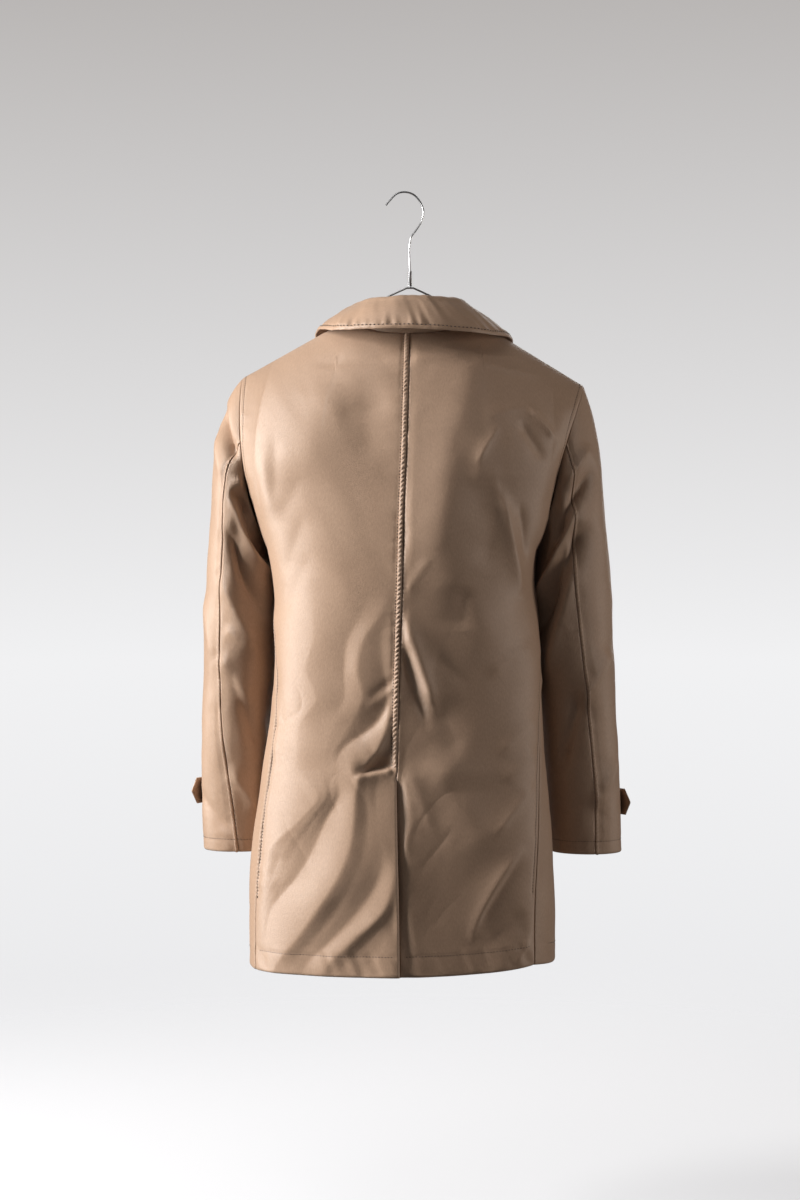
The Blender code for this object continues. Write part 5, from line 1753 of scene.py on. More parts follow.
@dataclass
class Sleeve:
    """A two-piece sleeve: an upper and an under piece, sewn at the back and the front."""

    shape: CoatShape
    side: Side
    levels: tuple[SleeveLevel, ...]
    creases: tuple[Crease, ...]
    cap_leave: float
    cap_round: float
    seed: int
    cap_arrive: float = 0.030
    cap_out: float = 0.26
    cap_side: float = 0.10
    cap_drop: float = 0.15
    cap_gain: float = 1.05
    slope_step: float = 0.01
    biceps_z: float = -0.560
    cuff_z: float = -0.913
    back_seam: float = 5.0 / 14.0
    front_seam: float = 11.0 / 7.0
    front_turn: float = 250.0
    girth: float = 0.36
    wall: float = 0.003
    step: float = 0.0033
    seam_step: float = 0.0010
    end_step: float = 0.0012
    cap_long: float = 0.30
    arm_long: float = 0.35
    crease_gain: float = 2.0
    crease_over: float = 0.15
    full: float = 0.0040
    low_full: float = 0.0
    hollow: float = 0.0
    full_at: Bulge = Bulge(1.0, 0.24, -0.74, 0.08, -0.47, 0.08)
    low_full_at: Bulge = Bulge(0.62, 0.20, -0.90, 0.08, -0.58, 0.12, 0.03)
    hollow_at: Bulge = Bulge(0.60, 0.16, -0.62, 0.12, -0.34, 0.06, 0.012)
    ripples: tuple[tuple[Ripple, int], ...] = (
        (Ripple(0.0013, 0.055, 0.5), 0),
        (Ripple(0.0007, 0.024, 0.6, 0.3), 2),
        (Ripple(0.0003, 0.012, 0.6, -0.3), 3),
    )
    cuff_deep: float = 0.019
    cuff_roll: Roll = Roll(0.0016, 0.003)
    cuff_furrow: Furrow = Furrow(0.0006, 0.0016)
    cuff_pucker: Pucker = Pucker(0.0009, 0.011)
    top_roll: Roll = Roll(0.0007, 0.0016)
    side_roll: Roll = Roll(0.0010, 0.0016)
    stitch_in: float = 0.0062
    upper_furrow: Furrow = Furrow(0.0008, 0.0016)
    upper_pucker: Pucker = Pucker(0.0010, 0.011, 0.009)
    under_pucker: Pucker = Pucker(0.0008, 0.012, 0.010)
    upper_flat: tuple[float, float] = (0.250, 0.690)
    under_flat: tuple[float, float] = (0.215, 0.600)

    def turn(self, share: Array, z: Array) -> Array:
        """Degrees round the sleeve of a column, from its outer side by the back."""
        back, front = self.back_seam, self.front_seam
        seam = column(self.levels, "seam_turn", z)
        first = seam * share / back
        second = seam + (180.0 - seam) * (share - back) / (1.0 - back)
        third = 180.0 + (self.front_turn - 180.0) * (share - 1.0) / (front - 1.0)
        last = self.front_turn + (360.0 - self.front_turn) * (share - front) / (2.0 - front)
        late = np.where(share < front, third, last)
        return np.where(share < back, first, np.where(share < 1.0, second, late))

    def ring(self, turn: Array, z: Array) -> Array:
        """Points of the sleeve's level section."""
        half = column(self.levels, "half_wide", z)
        deep = column(self.levels, "half_deep", z)
        middle = self.middle(z)
        x = middle[..., 0] + self.side * half * np.cos(np.radians(turn))
        y = middle[..., 1] - deep * np.sin(np.radians(turn))
        return np.stack([x, y, z + 0.0 * x], -1)

    def middle(self, z: Array) -> Array:
        """The line inside the sleeve at a height."""
        x = column(self.levels, "outer_x", z) - self.side * column(self.levels, "half_wide", z)
        return np.stack([x, column(self.levels, "middle_y", z), z + 0.0 * x], -1)

    def point(self, share: Array, down: Array) -> Array:
        """Points of the sleeve without folds.

        Args:
            share: The way round, 0 to 2 from the shoulder point by the back.
            down: 0 at the armhole, 1 at the biceps and 2 at the cuff.

        Returns:
            The points.
        """
        share, down = np.broadcast_arrays(np.asarray(share, float), np.asarray(down, float))
        hole = self.shape.armhole_point(self.side, share)
        upper = np.full(share.shape, self.biceps_z)
        turn = self.turn(share, upper)
        biceps = self.ring(turn, upper)
        lower = upper - self.slope_step
        beyond = self.ring(self.turn(share, lower), lower)
        drop = hole[..., 2:] - self.biceps_z
        high = ((1.0 + np.cos(np.radians(turn))) / 2.0) ** 1.5
        outward = self.side * (self.cap_out + self.cap_leave * high)
        aside = -self.cap_side * np.sin(np.radians(turn))
        leave = drop * np.stack([outward, aside, -1.0 - self.cap_drop * high], -1)
        arrive = (beyond - biceps) / self.slope_step * drop * self.cap_gain
        arrive[..., 0] += self.side * self.cap_arrive * high * drop[..., 0]
        t = np.clip(down, 0.0, 1.0)[..., None]
        cap = hermite(hole, leave, biceps, arrive, t)
        cap[..., 0] += self.side * self.cap_round * high * (t * (1.0 - t) ** 5)[..., 0]
        z = self.biceps_z + (self.cuff_z - self.biceps_z) * np.clip(down - 1.0, 0.0, 1.0)
        arm = self.ring(self.turn(share, z), z)
        return np.where(down[..., None] <= 1.0, cap, arm)

    def crease_height(self, share: Array, z: Array) -> Array:
        """How far the folds raise the sleeve."""
        around = self.girth / 2.0
        folds = [
            Fold(c.round0 * around, c.z0, c.round1 * around, c.z1, c.below, c.above, c.high)
            for c in self.creases
        ]
        return fold_height(share * around, z, folds, self.crease_over)

    def plain_piece(self, first: float, last: float) -> tuple[ClothGrid, Array]:
        """One of the two pieces without folds.

        Args:
            first: The share of its first column.
            last: The share of its last column.

        Returns:
            Its grid, and each point's share of the way round.
        """
        long = (last - first) * self.girth / 2.0
        share = first + (last - first) * spread(long, self.step, self.seam_step, self.seam_step)
        cap = spread(self.cap_long, self.step, self.end_step, self.step)
        arm = spread(self.arm_long, self.step, self.step, self.end_step)
        share, down = np.meshgrid(share, np.concatenate([cap, 1.0 + arm[1:]]))
        points = self.point(np.where(share < 0.0, share + 2.0, share), down)
        grid = self.shape.grid(points, self.middle(points[..., 2]))
        return grid, share

    def relief(self, half: Half, grid: ClothGrid, share: Array) -> tuple[Array, Array]:
        """Folds, furrows and puckers of a piece.

        Args:
            half: Which piece.
            grid: The piece without them.
            share: Each point's share of the way round.

        Returns:
            The height and the wear of each point.
        """
        start, end, top, cuff = (grid.from_edge(edge) for edge in Edge)
        z = grid.points[..., 2]
        around = share * self.girth / 2.0
        fade = ease(top / 0.014) * ease((cuff - 0.006) / 0.030)
        high = self.crease_gain * self.crease_height(share, z) * fade
        soft = fade * ease(start / 0.016) * ease(end / 0.016)
        for ripple, seed in self.ripples:
            high += soft * ripple.height(around, z, self.seed + seed)
        high += self.cuff_roll.height(cuff) + self.top_roll.height(top)
        high += self.side_roll.height(start) + self.side_roll.height(end)
        high += self.cuff_furrow.height(cuff - self.cuff_deep)
        band = ease(cuff / 0.005) * ease((self.cuff_deep + 0.010 - cuff) / 0.012)
        high += band * self.cuff_pucker.height(around, 0.0 * z, self.seed + 4)
        if half == Half.UPPER:
            high += self.upper_furrow.height(end - self.stitch_in - 0.0010)
            away = np.clip(end - self.stitch_in, 0.0, 1.0)
            high += self.upper_pucker.height(z, away, self.seed + 8) * ease(end / 0.007)
        else:
            high += self.full * self.full_at.share_of(share, z, start)
            high += self.low_full * self.low_full_at.share_of(share, z, start)
            high -= self.hollow * self.hollow_at.share_of(share, z, start)
            high += self.under_pucker.height(z, start, self.seed + 10) * ease(start / 0.003)
        return high, 0.5 * ease(1.0 - cuff / 0.005)

    def build_piece(self, half: Half, first: float, last: float, finishes: Finishes) -> None:
        """Makes one of the two pieces, with its stitches.

        Args:
            half: Which piece.
            first: The share of its first column.
            last: The share of its last column.
            finishes: The materials.
        """
        grid, share = self.plain_piece(first, last)
        high, wear = self.relief(half, grid, share)
        finished = grid.raised(high)
        node = "sleeve_" + half.value + "_" + self.side.word
        rows = [finished.line(Edge.LAST_ROW, self.cuff_deep)]
        piece, *sewn = sewn_cloth(node, finished, self.wall, wear, rows, finishes)
        if half == Half.UPPER:
            # Painted shade in this roll's notches is weaker than on the back.
            roll = SeamRoll(0.0050, 0.0011, 0.00085, pitch=0.0058, sink=0.0006, pinch=0.6,
                            seed=self.seed + 6)
            every = np.ones(len(share), bool)
            sewn.append(roll.along(node + "_seam_roll", finished, Edge.LAST_COLUMN, every, finishes))
        grid.area()
        "back_" + self.side.word + "_cloth"

    def build(self, finishes: Finishes) -> None:
        """Makes both pieces of the sleeve."""
        self.build_piece(Half.UPPER, self.front_seam - 2.0, self.back_seam, finishes)
        self.build_piece(Half.UNDER, self.back_seam, self.front_seam, finishes)


@dataclass
class Collar:
    """A fold-down collar: the stand round the neck and the fall over it."""

    shape: CoatShape
    fold: tuple[FoldLine, ...] = (
        FoldLine(0.00, 0.000, -0.064, -0.1550),
        FoldLine(0.20, 0.036, -0.055, -0.1552),
        FoldLine(0.36, 0.059, -0.028, -0.1565),
        FoldLine(0.48, 0.066, 0.002, -0.1600),
        FoldLine(0.74, 0.050, 0.046, -0.1910),
        FoldLine(1.00, 0.010, 0.063, -0.2230),
    )
    edge: tuple[FallEdge, ...] = (
        FallEdge(0.00, 0.002, -0.100, -0.1980, 0.002, -0.100, -0.1980),
        FallEdge(0.18, -0.056, -0.092, -0.1975, 0.062, -0.092, -0.2000),
        FallEdge(0.36, -0.106, -0.058, -0.1945, 0.116, -0.058, -0.2010),
        FallEdge(0.48, -0.128, -0.010, -0.1880, 0.140, -0.010, -0.1990),
        FallEdge(0.64, -0.132, 0.050, -0.2020, 0.142, 0.050, -0.2120),
        FallEdge(0.83, -0.112, 0.102, -0.2520, 0.116, 0.102, -0.2560),
        FallEdge(1.00, -0.078, 0.130, -0.3180, 0.078, 0.130, -0.3180),
    )
    centre_x: float = 0.003
    end_share: float = 0.157
    wall: float = 0.0026
    seam_gap: float = 0.0003
    half_columns: int = 150
    neck_columns: int = 90
    stand_rows: int = 22
    foot_drop: float = 0.0050
    foot_in: float = 0.0036
    foot_stitch: float = 0.004
    foot_roll: Roll = Roll(0.0008, 0.002)
    foot_furrow: Furrow = Furrow(0.0004, 0.0014)
    stand_ripple: Ripple = Ripple(0.0004, 0.018)
    fall_roll: float = 0.009
    fall_bulge: float = 0.004
    crest_share: float = 0.42
    crest_rise: float = 0.0018
    knee_rise: float = 0.0010
    row_steps: tuple[float, float, float] = (0.0021, 0.0012, 0.0009)
    stitch_in: float = 0.0062
    rim_roll: Roll = Roll(0.0024, 0.0058)
    end_roll: Roll = Roll(0.0015, 0.0026)
    rim_furrow: Furrow = Furrow(0.0007, 0.0014)
    rim_pucker: Pucker = Pucker(0.0023, 0.0074, 0.011)
    lip_pucker: Pucker = Pucker(0.0008, 0.007)
    broad_ripple: Ripple = Ripple(0.0019, 0.034, 0.45)
    fine_ripple: Ripple = Ripple(0.0009, 0.013, 0.35, 0.4)
    thread: Stitching = Stitching(pitch=0.0058, long=0.0034, radius=0.00085, proud=0.0004)
    fall_flat: tuple[float, float] = (0.640, 0.115)
    stand_flat: tuple[float, float] = (0.460, 0.052)

    def neck_half(self, side: Side) -> Array:
        """The neckline from the middle of the back to the front, at even distances."""
        t = np.sin(np.linspace(0.0, math.pi / 2.0, self.neck_columns))
        back = self.shape.body_point(side, Part.BACK, self.shape.neck_share_back * t, 3.0)
        first = self.shape.front_middle_share
        across = self.shape.neck_share_front - first
        low = math.asin((self.end_share - first) / across)
        t = np.sin(np.linspace(math.pi / 2.0, low, self.neck_columns))[1:]
        front = self.shape.body_point(side, Part.FRONT, first + across * t, 3.0)
        points = np.concatenate([back, front])
        gone = lengths(points)
        return walked(points, gone, np.linspace(0.0, 1.0, self.half_columns) * gone[-1])

    def lines(self) -> tuple[Array, Array, Array]:
        """The neckline, the fold line and the outer edge, from the left end to the right."""
        share = np.linspace(0.0, 1.0, self.half_columns)
        signed = np.concatenate([-share[::-1], share[1:]])
        left, right = (self.neck_half(side) for side in Side)
        neck = np.concatenate([left[::-1], right[1:]])
        found = []
        for rows, left_word, right_word in ((self.fold, "", ""), (self.edge, "left_", "right_")):
            at = [-row.share for row in rows[:0:-1]] + [row.share for row in rows]
            mirror = np.array([1.0 if left_word else -1.0, 1.0, 1.0])
            left = np.array([[getattr(row, left_word + name) for name in "xyz"] for row in rows[:0:-1]])
            right = np.array([[getattr(row, right_word + name) for name in "xyz"] for row in rows])
            points = np.concatenate([left * mirror, right])
            found.append(np.stack([through(at, points[:, k], signed) for k in range(3)], -1))
        fold, edge = found
        fold[:, 0] += self.centre_x * (1.0 - np.abs(signed))
        return neck, fold, edge

    def build(self, finishes: Finishes) -> None:
        """Makes the stand and the fall.

        Args:
            finishes: The materials.
        """
        neck, fold, edge = self.lines()
        outward = unit(fold * np.array([1.0, 1.0, 0.0]))
        self.build_stand(neck, fold, outward, finishes)
        self.build_fall(fold, edge, outward, finishes)

    def build_stand(self, neck: Array, fold: Array, outward: Array, finishes: Finishes) -> None:
        """Makes the stand, from the neckline up to the fold line.

        Args:
            neck: The neckline.
            fold: The fold line.
            outward: Which way is out along them.
            finishes: The materials.
        """
        foot = neck - np.array([0.0, 0.0, self.foot_drop]) - outward * self.foot_in
        t = np.linspace(0.0, 1.0, self.stand_rows)[:, None, None]
        points = foot[None] * (1.0 - t) + fold[None] * t
        grid = self.shape.grid(points, points - outward[None])
        up = grid.from_edge(Edge.FIRST_ROW)
        high = self.foot_roll.height(up) + self.foot_furrow.height(up - self.foot_stitch)
        high += self.stand_ripple.height(grid.from_edge(Edge.FIRST_COLUMN), up, 401)
        finished = grid.raised(high)
        rows = [finished.line(Edge.FIRST_ROW, self.foot_stitch)]
        piece, sewing = sewn_cloth("collar_stand", finished, self.wall, 0.0 * high, rows, finishes)
        grid.area()

    def fall_grid(self, fold: Array, edge: Array, outward: Array) -> ClothGrid:
        """The fall without its sewing, from the fold line out and down.

        Args:
            fold: The fold line.
            edge: The fall's outer edge.
            outward: Which way is out along the fold line.

        Returns:
            The fall's grid.
        """
        up = np.array([0.0, 0.0, 1.0])
        roof = unit(np.cross(outward, np.gradient(fold, axis=0)))
        roof *= np.sign(roof[:, 2:])
        lift = self.seam_gap * 2.0 + self.wall
        first = fold - outward * self.wall + roof * lift
        crest = fold + outward * self.fall_roll * self.crest_share + roof * (lift + self.crest_rise)
        knee = fold + outward * self.fall_roll + roof * (lift + self.knee_rise)
        reach = edge - knee
        bulge = unit(np.cross(reach, np.gradient(edge, axis=0)))
        bulge *= np.sign((bulge * (outward + up)).sum(1, keepdims=True))
        keys = [first, crest, knee]
        for share in (0.2, 0.4, 0.6, 0.8, 1.0):
            keys.append(knee + reach * share + bulge * math.sin(math.pi * share) * self.fall_bulge)
        keys = np.array(keys)
        steps = np.linalg.norm(np.diff(keys, axis=0), axis=2).mean(axis=1)
        at = np.concatenate([[0.0], np.cumsum(steps)])
        places = at[-1] * spread(at[-1], *self.row_steps)
        flat = keys.reshape(len(keys), -1)
        points = np.stack([through(at, flat[:, k], places) for k in range(flat.shape[1])], -1)
        points = points.reshape(len(places), -1, 3)
        return self.shape.grid(points, points - outward[None] - up)

    def build_fall(self, fold: Array, edge: Array, outward: Array, finishes: Finishes) -> None:
        """Makes the fall with its sewing.

        Args:
            fold: The fold line.
            edge: The fall's outer edge.
            outward: Which way is out along the fold line.
            finishes: The materials.
        """
        grid = self.fall_grid(fold, edge, outward)
        start, end, _, rim = (grid.from_edge(side) for side in Edge)
        along = start[-1:] + 0.0 * start
        away = np.clip(rim - self.stitch_in, 0.0, 1.0)
        high = self.rim_roll.height(rim) + self.end_roll.height(start) + self.end_roll.height(end)
        high += self.rim_furrow.height(rim - self.stitch_in)
        high += self.rim_pucker.height(along, away, 411) * ease((rim - 0.004) / 0.004)
        high += self.lip_pucker.height(along, 0.0 * rim, 415) * ease(1.0 - rim / self.stitch_in)
        high += self.broad_ripple.height(along, rim, 417) * ease(rim / 0.02)
        high += self.fine_ripple.height(along, rim, 419) * ease(rim / 0.01)
        finished = grid.raised(high)
        wear = 0.1 * ease(1.0 - rim / 0.004)
        sides = (Edge.LAST_ROW, Edge.FIRST_COLUMN, Edge.LAST_COLUMN)
        rows = [finished.line(side, self.stitch_in) for side in sides]
        piece, sewing = sewn_cloth("collar_fall", finished, self.wall, wear, rows, finishes, self.thread)
        grid.area()


@dataclass
class Button:
    """A turned button with a raised rim, sewn on through its holes."""

    radius: float = 0.011
    thick: float = 0.0032
    rim: float = 0.0016
    dish: float = 0.0007
    hole: float = 0.00095
    hole_off: float = 0.0021
    segments: int = 40
    strand_gap: float = 0.00035
    strand_wide: float = 0.00026
    strand_high: float = 0.0004
    strand_proud: float = 0.0002

    def build(self, name: str, seat: Array, out: Array, finishes: Finishes) -> None:
        """Makes the button and its thread.

        Args:
            name: The node that it stands for.
            seat: The middle of its back.
            out: Which way it faces.
            finishes: The materials.
        """
        turn = Vector((0.0, 0.0, 1.0)).rotation_difference(Vector(out)).to_matrix().to_4x4()
        place = Matrix.Translation(Vector(seat)) @ turn
        r = self.radius
        t = self.thick
        profile = (
            (0.0, 0.0), (r * 0.72, 0.0), (r * 0.93, t * 0.18), (r, t * 0.45), (r * 0.985, t * 0.78),
            (r * 0.94, t), (r - self.rim * 0.7, t), (r - self.rim * 1.15, t - self.dish * 0.7),
            (r * 0.62, t - self.dish), (0.0, t - self.dish),
        )
        bm = bmesh.new()
        points = [bm.verts.new((x, 0.0, z)) for x, z in profile]
        lines = [bm.edges.new(pair) for pair in zip(points, points[1:])]
        bmesh.ops.spin(bm, geom=points + lines, cent=(0, 0, 0), axis=(0, 0, 1), angle=2.0 * math.pi,
                       steps=self.segments, use_merge=True)
        bmesh.ops.remove_doubles(bm, verts=bm.verts, dist=1e-6)
        bmesh.ops.recalc_face_normals(bm, faces=bm.faces)
        body = made_object(name + "_horn", bm, finishes.horn)
        drill = bmesh.new()
        for i in range(4):
            a = math.radians(45.0 + 90.0 * i)
            spot = Matrix.Translation((self.hole_off * math.cos(a), self.hole_off * math.sin(a), t / 2.0))
            bmesh.ops.create_cone(drill, cap_ends=True, segments=14, radius1=self.hole, radius2=self.hole,
                                  depth=t * 2.0, matrix=spot)
        cutter = made_object(name + "_drill", drill, finishes.horn)
        cut = body.modifiers.new("holes", "BOOLEAN")
        cut.object = cutter
        cut.operation = "DIFFERENCE"
        drilled = bpy.data.meshes.new_from_object(body.evaluated_get(bpy.context.evaluated_depsgraph_get()))
        body.modifiers.clear()
        body.data = drilled
        bpy.data.objects.remove(cutter)
        body.data.transform(place)
        carried(body, "horn", name)
        bm = bmesh.new()
        high = t - self.dish + self.strand_proud
        size = Matrix.Diagonal((self.hole_off * 1.05, self.strand_wide, self.strand_high, 1.0))
        for sign in (-1.0, 1.0):
            for strand in (-1.0, 0.0, 1.0):
                y = sign * self.hole_off * 0.7 + strand * self.strand_gap
                spot = place @ Matrix.Translation((0.0, y, high)) @ size
                bmesh.ops.create_uvsphere(bm, u_segments=8, v_segments=6, radius=1.0, matrix=spot)
        carried(made_object(name + "_thread", bm, finishes.thread), "cloth")


@dataclass
class CuffTab:
    """A pointed tab over the front of a cuff, whose tip stands off the outer side."""

    sleeve: Sleeve
    top_z: float
    tip: float
    wide: float = 0.037
    start_turn: float = 268.0
    leave_turn: float = 338.0
    point: float = 0.013
    off: float = 0.0012
    wall: float = 0.0022
    swing: float = 0.12
    columns: int = 34
    button_share: float = 4.0 / 7.0
    button_off: float = 0.0008
    button_radius: float = 0.0085
    stitch_in: float = 0.0045
    edge_roll: Roll = Roll(0.0010, 0.0018)
    furrow: Furrow = Furrow(0.0004, 0.0012)
    ripple: Ripple = Ripple(0.0003, 0.009)
    flat: tuple[float, float] = (0.110, 0.037)

    def build(self, finishes: Finishes) -> None:
        """Makes the tab, its stitches and its button.

        Args:
            finishes: The materials.
        """
        side = self.sleeve.side
        turns = np.linspace(self.start_turn, self.leave_turn, self.columns)
        spaced = spread(self.wide, 0.0016, 0.0007, 0.0007)
        z = (self.top_z - self.wide * spaced)[:, None] + 0.0 * turns
        laid = self.sleeve.ring(turns[None, :] + 0.0 * z, z)
        laid = laid + unit(laid - self.sleeve.middle(z)) * (self.off + self.wall)
        leave = unit(laid[:, -1] - laid[:, -2])
        swing = np.array([side * self.swing, 0.0, 0.0])
        middle_row = np.abs(2.0 * spaced - 1.0)[:, None]
        tips = []
        for share in spread(self.tip, 0.0014, 0.0014, 0.0008)[1:]:
            long = (self.tip - self.point * middle_row) * share
            tips.append(laid[:, -1] + (leave + swing * share) * long)
        points = np.concatenate([laid, np.stack(tips, axis=1)], axis=1)
        grid = self.sleeve.shape.grid(points, self.sleeve.middle(points[..., 2]))
        along = grid.from_edge(Edge.FIRST_COLUMN)
        sewn = (Edge.FIRST_ROW, Edge.LAST_ROW, Edge.LAST_COLUMN)
        around = np.min([grid.from_edge(edge) for edge in sewn], axis=0)
        high = self.edge_roll.height(around) + self.furrow.height(around - self.stitch_in)
        high += self.ripple.height(along, grid.points[..., 2], 501)
        finished = grid.raised(high)
        name = "cuff_tab_" + side.word
        wear = 0.5 * ease(1.0 - around / 0.003)
        rows = [finished.line(edge, self.stitch_in) for edge in sewn]
        piece, sewing = sewn_cloth(name, finished, self.wall, wear, rows, finishes)
        grid.area()
        "sleeve_upper_" + side.word + "_cloth"
        r = points.shape[0] // 2
        c = int(round(self.button_share * (self.columns - 1)))
        seat = finished.points[r, c] + finished.out[r, c] * self.button_off
        button = Button(radius=self.button_radius)
        button.build("cuff_button_" + side.word, seat, finished.out[r, c], finishes)


@dataclass
class FrontButtons:
    """The buttons down the middle of the left front."""

    shape: CoatShape
    heights: tuple[float, ...] = (-0.345, -0.475, -0.605, -0.735)
    off: float = 0.0008

    def build(self, left_front: ClothGrid, finishes: Finishes) -> None:
        """Makes the buttons on the left front.

        Args:
            left_front: The finished grid of the left front.
            finishes: The materials.
        """
        points = left_front.points
        for i, z in enumerate(self.heights):
            middle = float(self.shape.middle_x(z)) + self.shape.coat_x
            gone = np.abs(points[..., 0] - middle) + np.abs(points[..., 2] - z)
            r, c = np.unravel_index(np.argmin(gone), gone.shape)
            out = left_front.out[r, c]
            Button().build("front_button_%d" % (i + 1), points[r, c] + out * self.off, out, finishes)


@dataclass
class WireHanger:
    """A hanger bent from one wire: hook, twist and frame."""

    shape: CoatShape
    radius: float = 0.0013
    hook: tuple = (
        (-0.0255, -0.0170), (-0.0185, -0.0085), (-0.0095, -0.0005), (0.0000, 0.0013), (0.0105, -0.0012),
        (0.0205, -0.0105), (0.0262, -0.0260), (0.0235, -0.0400), (0.0155, -0.0520), (0.0095, -0.0610),
        (0.0076, -0.0700), (0.0076, -0.1080),
    )
    twist_top_z: float = -0.1086
    twist_bottom_z: float = -0.1290
    arm_start: tuple = (0.0045, -0.1312)
    arm_seen: tuple = (0.0300, -0.1430)
    arm_under: float = 0.0066
    arm_end: float = 0.200
    arm_turn: float = 58.0
    bar_drop: float = 0.020
    strand_radius: float = 0.00125
    twist_radius: float = 0.0016
    twist_turns: float = 3.25

    def tube(self, name: str, path: Array, radius: float, closed: bool, material: Material) -> Piece:
        """A round wire along a path.

        Args:
            name: The piece's name.
            path: The points of its middle line.
            radius: The wire's radius.
            closed: Whether its ends meet.
            material: Its finish.

        Returns:
            The wire as a mesh.
        """
        curve = bpy.data.curves.new(name + "_path", "CURVE")
        curve.dimensions = "3D"
        curve.bevel_depth = radius
        curve.bevel_resolution = 4
        curve.use_fill_caps = not closed
        spline = curve.splines.new("POLY")
        spline.points.add(len(path) - 1)
        spline.points.foreach_set("co", np.concatenate([path, np.ones((len(path), 1))], axis=1).ravel())
        spline.use_cyclic_u = closed
        helper = bpy.data.objects.new(name + "_path", curve)
        bpy.context.scene.collection.objects.link(helper)
        mesh = bpy.data.meshes.new_from_object(helper.evaluated_get(bpy.context.evaluated_depsgraph_get()))
        bpy.data.objects.remove(helper)
        mesh.materials.clear()
        return linked(name, mesh, material)

    def rounded(self, points: Sequence[tuple[float, float]], count: int) -> Array:
        """More points on a smooth path through the given ones, in the plane of the hanger."""
        p = np.array(points)
        gone = lengths(p)
        at = np.linspace(0.0, gone[-1], count)
        x = through(gone, p[:, 0], at)
        return np.stack([x, 0.0 * x, through(gone, p[:, 1], at)], -1)

    def frame_path(self) -> Array:
        """The frame's middle line: down one arm, along the bar and up the other."""
        arms = {}
        for side in Side:
            s = self.shape.shoulder(side)
            slope = (s.point_z - s.neck_z) / (abs(s.point_x) - abs(s.neck_x))
            line = [self.arm_start, self.arm_seen]
            for x in (abs(s.neck_x) + 0.006, 0.150, self.arm_end):
                line.append((x, s.neck_z + slope * (x - abs(s.neck_x)) - self.arm_under))
            arms[side] = self.rounded(line, 60)
        low = min(arms[side][-1][2] for side in Side) - self.bar_drop
        runs = []
        for side in Side:
            x, _, z = arms[side][-1]
            first = math.radians(self.arm_turn)
            bend = (z - low) / (1.0 + math.sin(first))
            angle = np.linspace(first, -math.pi / 2.0, 24)[1:]
            round_x = x - bend * math.cos(first) + bend * np.cos(angle)
            round_z = z - bend * math.sin(first) + bend * np.sin(angle)
            turn = np.stack([round_x, 0.0 * angle, round_z], -1)
            run = np.concatenate([arms[side], turn]) * np.array([float(side), 1.0, 1.0])
            runs.append(run + np.array([self.shape.coat_x, 0.0, 0.0]))
        return np.concatenate([runs[0], runs[1][::-1]])

    def build(self, finishes: Finishes) -> None:
        """Makes the hook, the twist and the frame.

        Args:
            finishes: The materials.
        """
        path = self.rounded(self.hook, 120)
        hook = self.tube("hanger_hook_wire", path, self.radius, False, finishes.wire)
        carried(hook, "steel", "hanger_hook")
        frame = self.tube("hanger_frame_wire", self.frame_path(), self.radius, True, finishes.wire)
        carried(frame, "steel", "hanger_frame")
        t = np.linspace(0.0, 1.0, 140)
        lap = self.twist_top_z + (self.twist_bottom_z - self.twist_top_z) * t
        strands = []
        for start in (0.0, math.pi):
            angle = start + 2.0 * math.pi * self.twist_turns * t
            aside = self.shape.coat_x + self.twist_radius * np.cos(angle)
            path = np.stack([aside, self.twist_radius * np.sin(angle), lap], -1)
            name = "strand_%d" % len(strands)
            strands.append(self.tube(name, path, self.strand_radius, False, finishes.wire))
        bm = bmesh.new()
        for strand in strands:
            bm.from_mesh(strand.data)
            bpy.data.objects.remove(strand)
        carried(made_object("hanger_twist_wire", bm, finishes.wire), "steel", "hanger_twist")


